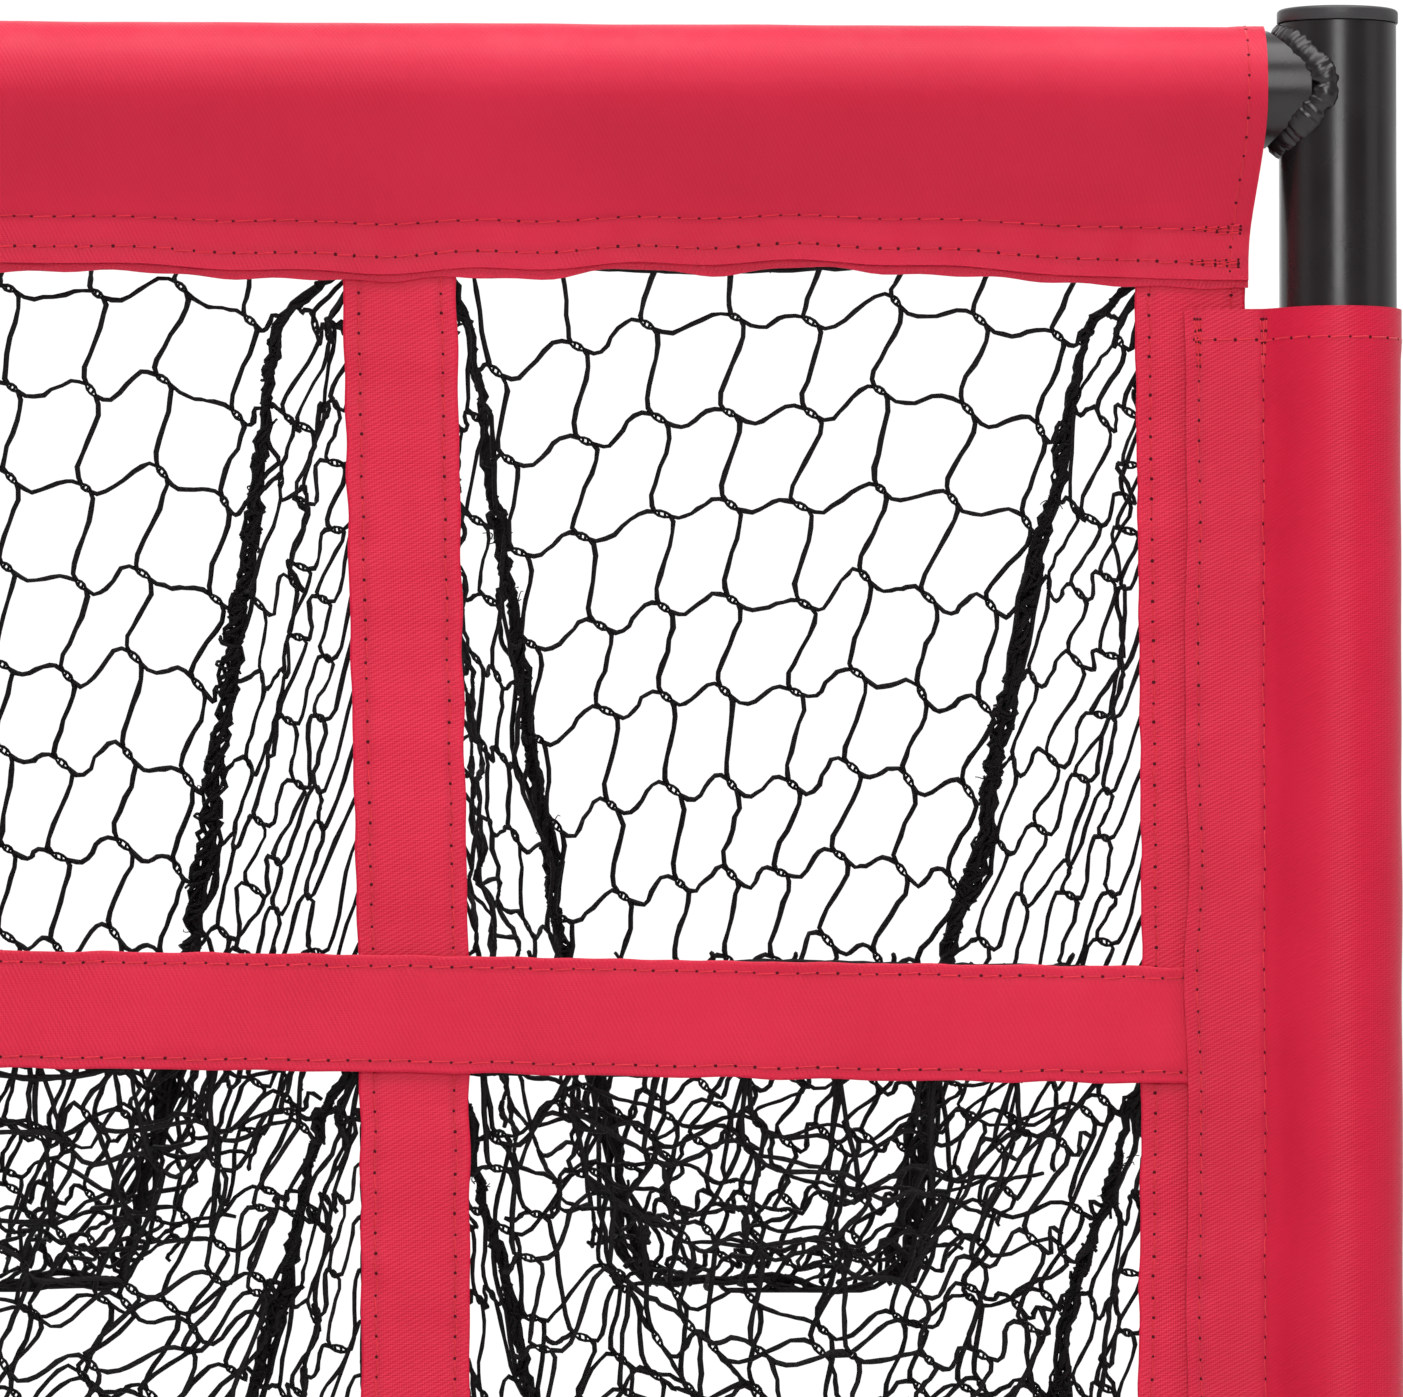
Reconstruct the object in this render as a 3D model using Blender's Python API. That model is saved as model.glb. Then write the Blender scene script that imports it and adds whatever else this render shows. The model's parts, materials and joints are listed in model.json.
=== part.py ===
"""Golf chipping target: net pockets in a red fabric grid on a black steel tube frame.

Front faces -Y, +X is right and +Z is up. The origin is on the floor, midway between
the two feet. All sizes are in metres. The frame stands on two cross feet that can turn
about their legs, and the upper frame lifts off the legs at two snap buttons.
"""
import math

import bmesh
import bpy
import numpy as np
from mathutils import Matrix, Vector

# ---- Driving sizes ---------------------------------------------------------
GAP = 0.0003                  # clearance between pieces that touch
TUBE_R = 0.0125               # 25 mm round tube, outer radius
TUBE_WALL = 0.0012
TUBE_SIDES = 24

COLUMN_NAMES = ("left", "middle", "right")
ROW_NAMES = ("bottom", "middle", "top")
OPENING_W = 0.145             # clear opening of one pocket
OPENING_H = 0.145
STRAP_WIDTH = 0.024           # upright straps between columns
BAND_WIDTH = 0.025            # level bands between rows
SIDE_MARGIN = 0.0295          # opening edge to the post's wall
RAIL_MARGIN = 0.0275          # opening edge to the rail's wall
BOTTOM_RAIL_Z = 0.345
POST_OVER_RAIL = 0.0015       # post end above the top of the rail

JOINT_OVER_RAIL = 0.0065      # where a post sits on its leg, above the bottom rail's wall
JOINER_HALF = 0.050           # length of an inner joining tube, each way
BUTTON_OVER_JOINT = 0.014
BUTTON_R = 0.0031
BUTTON_PROUD = 0.0035
BUTTON_FLANGE = 0.0010         # flange that keeps a button inside its joiner
BUTTON_FLANGE_R = 0.0040
BUTTON_ROUND = 0.0015         # length of the rounded tip
SPRING_STRIP = 0.0006         # thickness of the spring strip
SPRING_HALF = 0.003           # half width of the strip
SPRING_DROP = 0.030           # strip's bend below the button
SPRING_TOP = 0.006            # strip's ends above the button

CAP_BRIM = 0.0022
CAP_BRIM_OVER = 0.0004        # brim radius beyond the tube
CAP_DOME = 0.0014
CAP_EDGE = 0.0008             # rounding of the brim
CAP_PLUG = 0.018

FOOT_HALF = 0.225             # foot half length over its rubber caps
FOOT_Z = 0.016
FOOT_CAP_LENGTH = 0.030
FOOT_CAP_END = 0.003
FOOT_CAP_WALL = 0.0022
FOOT_CAP_CORNER = 0.8         # how square the cap's lower corners are
FOOT_STUB = 0.075             # stub above the foot tube
LEG_CLEAR = 0.0045            # leg end above the foot tube

KNOB_Z = 0.070                # clamp screw's height above the floor
SHANK_R = 0.0037
NUT_FLATS = 0.013
NUT_HEIGHT = 0.0065
KNOB_R = 0.0155
KNOB_LENGTH = 0.014
KNOB_LOBES = 5
KNOB_STEPS = 6                # points on each lobe
KNOB_CLEAR = 0.0015           # grip from the nut
KNOB_COLLAR = 0.003           # plain collar before the lobes
KNOB_ROUND = 0.003            # rounded outer edge of the grip
KNOB_WAVE = 0.09              # depth of the lobes over the radius
MERGE = 0.00001               # points closer than this are one

WELD_R = 0.0015
WELD_SIDES = 6

CLOTH = 0.0010                # thickness of one sewn layer
SLEEVE_EASE = 0.0005          # sleeve bore beyond the tube
HEADER_TAIL = 0.0275          # rail wall to the hem's edge
HEADER_SEAM = 0.0115          # rail wall to where the two layers meet
HEADER_CLEAR = 0.0035         # header end to the post's wall
HEADER_SLANT = 0.003
SLEEVE_DROP = 0.0345          # side sleeve end, from the rail's wall
SLEEVE_TAIL = 0.0202          # post wall to the side sleeve's inner edge
SLEEVE_SEAM = 0.0065          # post wall to where the two layers meet
SLEEVE_SLANT = 0.003
STRAP_TUCK = 0.010            # how far a strap end hides behind a hem
SIDE_BAND_SHOW = 0.001        # side band's edge past the nominal opening edge

BAG_OVERLAP = 0.005           # bag rim behind the straps, all round
BAG_WALL = 0.0020
RIM_ROOM = 1.5                # walls of room in front of the rim, where its corner thickens
BAG_DEPTH = 0.104
BAG_DROP = 0.065              # deep edge below the rim's lower edge
BAG_DEEP_HALF = 0.030         # half width at the deep edge
BAG_ROWS = 6
BAG_LEAN = 1.35               # how quickly the back leaves the mouth; 1 is straight

# ---- Derived places --------------------------------------------------------
COLUMNS = len(COLUMN_NAMES)
ROWS = len(ROW_NAMES)
PITCH_X = OPENING_W + STRAP_WIDTH
PITCH_Z = OPENING_H + BAND_WIDTH
POST_X = (COLUMNS * OPENING_W + (COLUMNS - 1) * STRAP_WIDTH) / 2 + SIDE_MARGIN + TUBE_R
GRID_LOW = BOTTOM_RAIL_Z + TUBE_R + RAIL_MARGIN
GRID_HIGH = GRID_LOW + ROWS * OPENING_H + (ROWS - 1) * BAND_WIDTH
TOP_RAIL_Z = GRID_HIGH + RAIL_MARGIN + TUBE_R
POST_TOP = TOP_RAIL_Z + TUBE_R + POST_OVER_RAIL
JOINT_Z = BOTTOM_RAIL_Z + TUBE_R + JOINT_OVER_RAIL
BUTTON_Z = JOINT_Z + BUTTON_OVER_JOINT
TUBE_IN = TUBE_R - TUBE_WALL
INNER_R = TUBE_IN - GAP       # joiners, stubs and plugs slide inside the 25 mm tube
INNER_IN = INNER_R - TUBE_WALL
FLAT_IN = INNER_IN * math.cos(math.pi / TUBE_SIDES)    # the bore's reach at a facet's middle
BUTTON_BACK = math.sqrt(FLAT_IN ** 2 - BUTTON_FLANGE_R ** 2) - GAP
LEG_BOTTOM = FOOT_Z + TUBE_R + LEG_CLEAR
STUB_TOP = FOOT_Z + TUBE_R + FOOT_STUB
SLEEVE_IN = TUBE_R + SLEEVE_EASE
SLEEVE_OUT = SLEEVE_IN + CLOTH

# Cloth layers from the front: side sleeve tails, bands and hems, then straps.
BAND_Y = (-GAP / 2 - CLOTH, -GAP / 2)
STRAP_Y = (GAP / 2, GAP / 2 + CLOTH)
TAIL_Y = (BAND_Y[0] - GAP - CLOTH, BAND_Y[0] - GAP)
BAG_Y = STRAP_Y[1] + GAP + RIM_ROOM * BAG_WALL

SIDES = (("left", -1), ("right", 1))


# ---- Scene helpers ---------------------------------------------------------
def clear_scene():
    """Remove whatever the scene holds."""
    for old in list(bpy.data.objects):
        bpy.data.objects.remove(old, do_unlink=True)


def finish_material(name, colour, roughness, metallic=0.0):
    """A Principled material of one colour."""
    material = bpy.data.materials.new(name)
    material.use_nodes = True
    shader = material.node_tree.nodes["Principled BSDF"]
    shader.inputs["Base Color"].default_value = (*colour, 1.0)
    shader.inputs["Roughness"].default_value = roughness
    shader.inputs["Metallic"].default_value = metallic
    return material


def pivot(name, place):
    """An empty on a joint's axis, which carries the pieces that move with it."""
    empty = bpy.data.objects.new(name, None)
    empty.location = place
    bpy.context.scene.collection.objects.link(empty)
    return empty


def add_piece(name, bm, material, parent=None, place=(0, 0, 0), turn=None):
    """Close a bmesh into a named object with outward faces and smooth round sides."""
    bmesh.ops.recalc_face_normals(bm, faces=bm.faces)
    mesh = bpy.data.meshes.new(name)
    bm.to_mesh(mesh)
    bm.free()
    mesh.materials.append(material)
    mesh.shade_smooth()
    mesh.set_sharp_from_angle(angle=math.radians(35))
    piece = bpy.data.objects.new(name, mesh)
    bpy.context.scene.collection.objects.link(piece)
    piece.matrix_local = Matrix.Translation(place) @ (turn or Matrix.Identity(4))
    piece.parent = parent
    return piece


def outward(side):
    """Turn local +Z to point away from the centre, along -X or +X."""
    return Matrix.Rotation(side * math.pi / 2, 4, "Y")


def lengthwise(end):
    """Turn local +Z to point along -Y or +Y."""
    return Matrix.Rotation(-end * math.pi / 2, 4, "X")


# ---- Shapes ----------------------------------------------------------------
def angles(count):
    """Equal angles once round, as an array."""
    return np.arange(count) * (2 * math.pi / count)


def join_rings(rings, looped):
    """Skin a list of point rings; looped rings close on the first, others get end faces."""
    bm = bmesh.new()
    rows = [[bm.verts.new(point) for point in ring] for ring in rings]
    count = len(rows[0])
    pairs = list(zip(rows, rows[1:]))
    if looped:
        pairs.append((rows[-1], rows[0]))
    for lower, upper in pairs:
        for i in range(count):
            j = (i + 1) % count
            bm.faces.new((lower[i], lower[j], upper[j], upper[i]))
    if not looped:
        bm.faces.new(rows[0])
        bm.faces.new(rows[-1])
    return bm


def circle(radius, height, count):
    """Points of one level circle."""
    t = angles(count)
    return np.stack([radius * np.cos(t), radius * np.sin(t), np.full(count, height)], 1)


def pipe(outer, inner, low, high, count=TUBE_SIDES):
    """A straight open tube along Z."""
    return join_rings([circle(outer, low, count), circle(outer, high, count),
                       circle(inner, high, count), circle(inner, low, count)], True)


def turned(profile, count=TUBE_SIDES):
    """A solid turned about Z from (radius, height) points, closed by end faces."""
    return join_rings([circle(r, z, count) for r, z in profile], False)


def saddle(radius, across):
    """Distance from a tube's axis to its wall, at an offset across that axis."""
    return np.sqrt((radius + GAP) ** 2 - across ** 2)


def rail_half(side, height):
    """Half a rail from the middle to a post, its end cut to the post's round wall."""
    t = angles(TUBE_SIDES)
    rings = []
    for radius, at_post in ((TUBE_R, True), (TUBE_R, False), (TUBE_IN, False), (TUBE_IN, True)):
        y = radius * np.cos(t)
        z = height + radius * np.sin(t)
        x = POST_X - saddle(TUBE_R, y) if at_post else np.full(TUBE_SIDES, GAP)
        rings.append(np.stack([side * x, y, z], 1))
    return join_rings(rings, True)


def bead(corner, wall_a, wall_b):
    """A weld of round section that lies in the corner between two walls all the way round.

    corner holds the points where the walls meet, and wall_a and wall_b their normals there.
    """
    middle = wall_a + wall_b
    spread = np.linalg.norm(middle, axis=1, keepdims=True)
    centre = corner + middle * 2 * (WELD_R + GAP) / spread ** 2
    along = np.roll(centre, -1, 0) - np.roll(centre, 1, 0)
    along /= np.linalg.norm(along, axis=1, keepdims=True)
    up = middle / spread
    across = np.cross(along, up)
    t = angles(WELD_SIDES)[:, None]
    return [c + WELD_R * (np.cos(t) * u + np.sin(t) * a) for c, u, a in zip(centre, up, across)]


def rail_weld(side, height, ceiling=None):
    """The weld round a rail's end; its top is dressed flush below the post's cap."""
    t = angles(TUBE_SIDES)
    y = TUBE_R * np.cos(t)
    depth = np.sqrt(np.maximum(TUBE_R ** 2 - y ** 2, 0.0))
    corner = np.stack([side * (POST_X - depth), y, height + TUBE_R * np.sin(t)], 1)
    on_rail = np.stack([np.zeros_like(t), np.cos(t), np.sin(t)], 1)
    on_post = np.stack([-side * np.abs(np.sin(t)), np.cos(t), np.zeros_like(t)], 1)
    rings = bead(corner, on_rail, on_post)
    if ceiling is not None:
        for ring in rings:
            ring[:, 2] = np.minimum(ring[:, 2], ceiling)
    return join_rings(rings, True)


def foot_weld():
    """The weld round a foot stub, on the foot tube."""
    t = angles(TUBE_SIDES)
    x = INNER_R * np.cos(t)
    corner = np.stack([x, INNER_R * np.sin(t), FOOT_Z + np.sqrt(TUBE_R ** 2 - x ** 2)], 1)
    on_stub = np.stack([np.cos(t), np.sin(t), np.zeros_like(t)], 1)
    on_foot = np.stack([x, np.zeros_like(t), np.sqrt(TUBE_R ** 2 - x ** 2)], 1) / TUBE_R
    return join_rings(bead(corner, on_stub, on_foot), True)


def foot_stub():
    """The upright stub that plugs into a leg, its lower end cut to the foot tube."""
    t = angles(TUBE_SIDES)
    rings = []
    for radius, at_foot in ((INNER_R, False), (INNER_R, True), (INNER_IN, True), (INNER_IN, False)):
        x = radius * np.cos(t)
        z = FOOT_Z + saddle(TUBE_R, x) if at_foot else np.full(TUBE_SIDES, STUB_TOP)
        rings.append(np.stack([x, radius * np.sin(t), z], 1))
    return join_rings(rings, True)


def foot_cap():
    """A rubber cap over a foot tube's end with a flat sole, modelled along +Z, sole at +Y."""
    t = angles(TUBE_SIDES)
    outer = TUBE_R + GAP + FOOT_CAP_WALL
    c = np.abs(np.cos(t)) + 1e-9
    s = np.abs(np.sin(t)) + 1e-9
    corner = FOOT_CAP_CORNER * (outer + FOOT_Z) / (c + s)
    squared = np.minimum(np.minimum(outer / c, FOOT_Z / s), corner)
    radius = np.where(np.sin(t) > 1e-6, squared, outer)
    tube_end = FOOT_HALF - FOOT_CAP_END
    rings = []
    for size, z in ((1.0, FOOT_HALF - FOOT_CAP_LENGTH), (1.0, FOOT_HALF)):
        rings.append(np.stack([size * radius * np.cos(t), size * radius * np.sin(t),
                               np.full(TUBE_SIDES, z)], 1))
    bore = TUBE_R + GAP
    rings = [circle(bore, tube_end, TUBE_SIDES),
             circle(bore, FOOT_HALF - FOOT_CAP_LENGTH, TUBE_SIDES)] + rings
    return join_rings(rings, False)


def lobed_knob():
    """A clamp screw with a lobed grip, along +Z from the leg's axis."""
    grip = TUBE_R + GAP + NUT_HEIGHT + KNOB_CLEAR
    top = grip + KNOB_LENGTH
    stations = ((0.75 * SHANK_R, INNER_R + GAP, 0), (SHANK_R, INNER_R + GAP + 0.3 * SHANK_R, 0),
                (SHANK_R, grip, 0), (0.48 * KNOB_R, grip, 0),
                (0.55 * KNOB_R, grip + KNOB_COLLAR, 0.2),
                (0.88 * KNOB_R, grip + 1.5 * KNOB_COLLAR, 0.8),
                (KNOB_R, grip + KNOB_LENGTH / 2, 1), (KNOB_R, top - KNOB_ROUND, 1),
                (0.88 * KNOB_R, top - 0.2 * KNOB_ROUND, 0.8), (0.5 * KNOB_R, top, 0.2))
    t = angles(KNOB_STEPS * KNOB_LOBES)
    rings = []
    for radius, z, lobed in stations:
        r = radius * (1 + KNOB_WAVE * lobed * (np.cos(KNOB_LOBES * t) - 1))
        rings.append(np.stack([r * np.cos(t), r * np.sin(t), np.full(len(t), z)], 1))
    return join_rings(rings, False)


def extrude_section(outer, holes, place):
    """Fill an outline with holes and carry it between two ends.

    place(point, end) gives the position of a section point at end 0 or end 1.
    """
    bm = bmesh.new()
    ends = []
    for end in (0, 1):
        loops = [[bm.verts.new(place(p, end)) for p in loop] for loop in [outer, *holes]]
        rims = [bm.edges.new((loop[i], loop[(i + 1) % len(loop)]))
                for loop in loops for i in range(len(loop))]
        bmesh.ops.triangle_fill(bm, use_beauty=True, edges=rims)
        ends.append(loops)
    for first, last in zip(*ends):
        for i in range(len(first)):
            j = (i + 1) % len(first)
            bm.faces.new((first[i], first[j], last[j], last[i]))
    return bm


def teardrop(radius, tip, half_width, tail, shift):
    """A ring outline about (0, 0) that narrows to a tail along -v.

    The round runs between the two points where lines from (shift +- half_width, -tip)
    touch the circle. tail is None for the bore, which ends at the tip.
    """
    reach = math.acos(radius / math.hypot(tip, shift))
    low = -math.pi / 2
    steps = 20
    sweep = np.linspace(low + reach, low + 2 * math.pi - reach, steps)
    points = [(radius * math.cos(a), radius * math.sin(a)) for a in sweep]
    if tail is None:
        return points + [(shift, -tip)]
    return points + [(shift - half_width, -tip), (shift - half_width, -tail),
                     (shift + half_width, -tail), (shift + half_width, -tip)]


def rail_sleeve(height, down):
    """The cloth sleeve round a rail with its doubled hem; down is 1 for the header."""
    middle = (BAND_Y[0] + BAND_Y[1]) / 2
    tip, hem = TUBE_R + HEADER_SEAM, TUBE_R + HEADER_TAIL
    bore = teardrop(SLEEVE_IN, tip - CLOTH, 0, None, middle)
    outline = teardrop(SLEEVE_OUT, tip, CLOTH / 2, hem, middle)
    reach = POST_X - TUBE_R - HEADER_CLEAR

    def place(point, end):
        across, drop = point
        slant = HEADER_SLANT * max(0.0, -drop) / hem
        return ((1 if end else -1) * (reach - slant), across, height + down * drop)

    return extrude_section(outline, [bore], place)


def post_sleeve(side):
    """The cloth sleeve round a post, its doubled tail pointing to the middle."""
    middle = (TAIL_Y[0] + TAIL_Y[1]) / 2
    tip, edge = TUBE_R + SLEEVE_SEAM, TUBE_R + SLEEVE_TAIL
    bore = teardrop(SLEEVE_IN, tip - CLOTH, 0, None, middle)
    outline = teardrop(SLEEVE_OUT, tip, CLOTH / 2, edge, middle)
    low = BOTTOM_RAIL_Z + TUBE_R + SLEEVE_DROP
    high = TOP_RAIL_Z - TUBE_R - SLEEVE_DROP

    def place(point, end):
        across, inward = point
        slant = SLEEVE_SLANT * max(0.0, -inward) / edge
        z = high - slant if end else low + slant
        return (side * (POST_X + inward), across, z)

    return extrude_section(outline, [bore], place)


def block(low, high):
    """A flat strap as a thin box between two corners."""
    bm = bmesh.new()
    bmesh.ops.create_cube(bm, size=1.0)
    low, high = Vector(low), Vector(high)
    for vert in bm.verts:
        vert.co = Vector([low[i] + (vert.co[i] + 0.5) * (high[i] - low[i]) for i in range(3)])
    return bm


def net_bag(x, z_top):
    """The pouch behind one opening: a wedge shell, open at the front.

    Each level of the shell has four points: rim, back corner, back corner, rim. The back
    leans away from the rim's top and the floor falls to the deep edge.
    """
    rim_half = OPENING_W / 2 + BAG_OVERLAP
    rim_top = z_top + BAG_OVERLAP
    rim_height = OPENING_H + 2 * BAG_OVERLAP
    bm = bmesh.new()
    levels = []
    for share in np.linspace(0, 1, BAG_ROWS + 1):
        depth = BAG_DEPTH * (1 - (1 - share) ** BAG_LEAN)
        half = rim_half + (BAG_DEEP_HALF - rim_half) * share
        z_rim = rim_top - share * rim_height
        z_back = rim_top - share * (rim_height + BAG_DROP)
        levels.append([bm.verts.new(p) for p in (
            (x - rim_half, BAG_Y, z_rim), (x - half, BAG_Y + depth, z_back),
            (x + half, BAG_Y + depth, z_back), (x + rim_half, BAG_Y, z_rim))])
    for upper, lower in zip(levels, levels[1:]):
        for i in range(3):
            bm.faces.new((upper[i], upper[i + 1], lower[i + 1], lower[i]))
    bm.faces.new(levels[-1])
    bmesh.ops.remove_doubles(bm, verts=bm.verts, dist=MERGE)
    return bm


def snap_spring():
    """A bent strip: one leg behind the button, one against the far wall, along local Z."""
    thickness = SPRING_STRIP
    half = SPRING_HALF
    button_leg = BUTTON_BACK - BUTTON_FLANGE - GAP
    wall_leg = math.sqrt(FLAT_IN ** 2 - half ** 2) - GAP
    drop, top = SPRING_DROP, SPRING_TOP
    bend = (button_leg + wall_leg) / 2
    centre = (button_leg - wall_leg) / 2
    outer = [(button_leg, top)]
    outer += [(centre + bend * math.cos(a), -drop + bend * math.sin(a))
              for a in np.linspace(0, -math.pi, 9)]
    outer += [(-wall_leg, top)]
    inner_bend = bend - thickness
    inner = [(-wall_leg + thickness, top)]
    inner += [(centre + inner_bend * math.cos(a), -drop + inner_bend * math.sin(a))
              for a in np.linspace(-math.pi, 0, 9)]
    inner += [(button_leg - thickness, top)]

    def place(point, end):
        return (point[0], half if end else -half, point[1])

    return extrude_section(outer + inner, [], place)


def cut_round(piece, name, radius, place, turn, length):
    """Bore a round hole through a piece's wall from its axis outwards."""
    bm = turned(((radius, 0.0), (radius, length)), 20)
    cutter = add_piece(name, bm, piece.data.materials[0], place=place, turn=turn)
    cutter.hide_render = True
    cutter.display_type = "WIRE"
    cut = piece.modifiers.new("hole", "BOOLEAN")
    cut.operation = "DIFFERENCE"
    cut.solver = "EXACT"
    cut.object = cutter


# ---- Assembly --------------------------------------------------------------
def build_upper_frame(metal, plastic):
    """Posts, top rail halves with their joiner, welds and post caps."""
    brim_r = TUBE_R + CAP_BRIM_OVER
    for name, side in SIDES:
        post = add_piece(f"post_{name}", pipe(TUBE_R, TUBE_IN, JOINT_Z + GAP, POST_TOP), metal,
                         place=(side * POST_X, 0, 0))
        cut_round(post, f"cut_post_{name}", BUTTON_R + GAP, (side * POST_X, 0, BUTTON_Z),
                  outward(side), 2 * TUBE_R)
        add_piece(f"top_rail_{name}", rail_half(side, TOP_RAIL_Z), metal)
        add_piece(f"top_weld_{name}", rail_weld(side, TOP_RAIL_Z, POST_TOP - GAP), metal)
        profile = ((INNER_R - CAP_EDGE, -CAP_PLUG), (INNER_R, -CAP_PLUG + CAP_EDGE),
                   (INNER_R, GAP), (brim_r - GAP, GAP), (brim_r, CAP_EDGE),
                   (brim_r, CAP_BRIM - CAP_EDGE), (brim_r - CAP_EDGE, CAP_BRIM),
                   (0.7 * brim_r, CAP_BRIM + 0.5 * CAP_DOME),
                   (0.3 * brim_r, CAP_BRIM + CAP_DOME))
        add_piece(f"post_cap_{name}", turned(profile), plastic, place=(side * POST_X, 0, POST_TOP))
    joiner = pipe(INNER_R, INNER_IN, -JOINER_HALF, JOINER_HALF)
    add_piece("top_rail_joiner", joiner, metal, place=(0, 0, TOP_RAIL_Z), turn=outward(1))


def build_lower_frame(metal, steel):
    """Legs, bottom rail halves, the tubes that join posts to legs, and the weld nuts."""
    for name, side in SIDES:
        leg = add_piece(f"leg_{name}", pipe(TUBE_R, TUBE_IN, LEG_BOTTOM, JOINT_Z), metal,
                        place=(side * POST_X, 0, 0))
        cut_round(leg, f"cut_leg_{name}", SHANK_R + GAP, (side * POST_X, 0, KNOB_Z),
                  outward(side), 2 * TUBE_R)
        add_piece(f"bottom_rail_{name}", rail_half(side, BOTTOM_RAIL_Z), metal)
        add_piece(f"bottom_weld_{name}", rail_weld(side, BOTTOM_RAIL_Z), metal)
        joiner = add_piece(f"post_joiner_{name}", pipe(INNER_R, INNER_IN, -JOINER_HALF, JOINER_HALF),
                           metal, place=(side * POST_X, 0, JOINT_Z))
        cut_round(joiner, f"cut_joiner_{name}", BUTTON_R + GAP, (side * POST_X, 0, BUTTON_Z),
                  outward(side), 2 * TUBE_R)
        hexagon = [(NUT_FLATS / math.sqrt(3) * math.cos(a), NUT_FLATS / math.sqrt(3) * math.sin(a))
                   for a in angles(6)]
        bore = [((SHANK_R + GAP) * math.cos(a), (SHANK_R + GAP) * math.sin(a)) for a in angles(20)]
        base = TUBE_R + GAP

        def place(point, end):
            return (point[0], point[1], base + end * NUT_HEIGHT)

        add_piece(f"clamp_nut_{name}", extrude_section(hexagon, [bore], place), steel,
                  place=(side * POST_X, 0, KNOB_Z), turn=outward(side))
    joiner = pipe(INNER_R, INNER_IN, -JOINER_HALF, JOINER_HALF)
    add_piece("bottom_rail_joiner", joiner, metal, place=(0, 0, BOTTOM_RAIL_Z), turn=outward(1))


def build_snap_buttons(steel):
    """The spring buttons that hold each post on its leg."""
    tip = TUBE_R + BUTTON_PROUD
    profile = ((0.5 * BUTTON_R, tip), (0.85 * BUTTON_R, tip - 0.4 * BUTTON_ROUND),
               (BUTTON_R, tip - BUTTON_ROUND),
               (BUTTON_R, BUTTON_BACK), (BUTTON_FLANGE_R, BUTTON_BACK),
               (BUTTON_FLANGE_R, BUTTON_BACK - BUTTON_FLANGE))
    for name, side in SIDES:
        axis = pivot(f"button_axis_{name}", (side * POST_X, 0, BUTTON_Z))
        add_piece(f"snap_button_{name}", turned(profile, 20), steel, parent=axis, turn=outward(side))
        face_out = Matrix.Rotation(0 if side > 0 else math.pi, 4, "Z")
        add_piece(f"snap_spring_{name}", snap_spring(), steel, place=(side * POST_X, 0, BUTTON_Z),
                  turn=face_out)


def build_feet(metal, plastic, rubber):
    """The cross feet, each turning about its leg, with their clamp knobs."""
    tube_half = FOOT_HALF - FOOT_CAP_END - GAP
    for name, side in SIDES:
        axis = pivot(f"foot_axis_{name}", (side * POST_X, 0, 0))
        add_piece(f"foot_tube_{name}", pipe(TUBE_R, TUBE_IN, -tube_half, tube_half), metal,
                  parent=axis, place=(0, 0, FOOT_Z), turn=lengthwise(1))
        add_piece(f"foot_stub_{name}", foot_stub(), metal, parent=axis)
        add_piece(f"foot_weld_{name}", foot_weld(), metal, parent=axis)
        for end_name, end in (("front", -1), ("back", 1)):
            sole_down = Matrix.Rotation(0 if end > 0 else math.pi, 4, "Z")
            add_piece(f"foot_cap_{end_name}_{name}", foot_cap(), rubber, parent=axis,
                      place=(0, 0, FOOT_Z), turn=lengthwise(end) @ sole_down)
        screw = pivot(f"knob_axis_{name}", (side * POST_X, 0, KNOB_Z))
        add_piece(f"clamp_knob_{name}", lobed_knob(), plastic, parent=screw, turn=outward(side))


def build_fabric(cloth):
    """Sleeves on the tubes and the straps and bands that make the grid."""
    add_piece("header_sleeve", rail_sleeve(TOP_RAIL_Z, 1), cloth)
    add_piece("bottom_sleeve", rail_sleeve(BOTTOM_RAIL_Z, -1), cloth)
    low = GRID_LOW - STRAP_TUCK
    high = GRID_HIGH + STRAP_TUCK
    for name, side in SIDES:
        add_piece(f"side_sleeve_{name}", post_sleeve(side), cloth)
        near = POST_X - TUBE_R - SIDE_MARGIN - SIDE_BAND_SHOW
        far = POST_X - TUBE_R - SLEEVE_SEAM - GAP
        corners = sorted((side * near, side * far))
        add_piece(f"side_band_{name}", block((corners[0], STRAP_Y[0], low),
                                             (corners[1], STRAP_Y[1], high)), cloth)
    for column in range(COLUMNS - 1):
        x = (column - (COLUMNS - 2) / 2) * PITCH_X
        name = f"upright_strap_{COLUMN_NAMES[0] if column == 0 else COLUMN_NAMES[-1]}"
        add_piece(name, block((x - STRAP_WIDTH / 2, STRAP_Y[0], low),
                              (x + STRAP_WIDTH / 2, STRAP_Y[1], high)), cloth)
    reach = POST_X - TUBE_R - SLEEVE_SEAM - GAP
    for row in range(ROWS - 1):
        z = GRID_LOW + OPENING_H + row * PITCH_Z
        name = f"level_band_{'lower' if row == 0 else 'upper'}"
        add_piece(name, block((-reach, BAND_Y[0], z), (reach, BAND_Y[1], z + BAND_WIDTH)), cloth)


def build_net(twine):
    """One net bag behind each opening."""
    for row, row_name in enumerate(ROW_NAMES):
        for column, column_name in enumerate(COLUMN_NAMES):
            x = (column - (COLUMNS - 1) / 2) * PITCH_X
            z_top = GRID_LOW + OPENING_H + row * PITCH_Z
            bag = add_piece(f"net_bag_{row_name}_{column_name}", net_bag(x, z_top), twine)
            wall = bag.modifiers.new("wall", "SOLIDIFY")
            wall.thickness = BAG_WALL
            wall.offset = -1.0
            wall.use_even_offset = True


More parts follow.
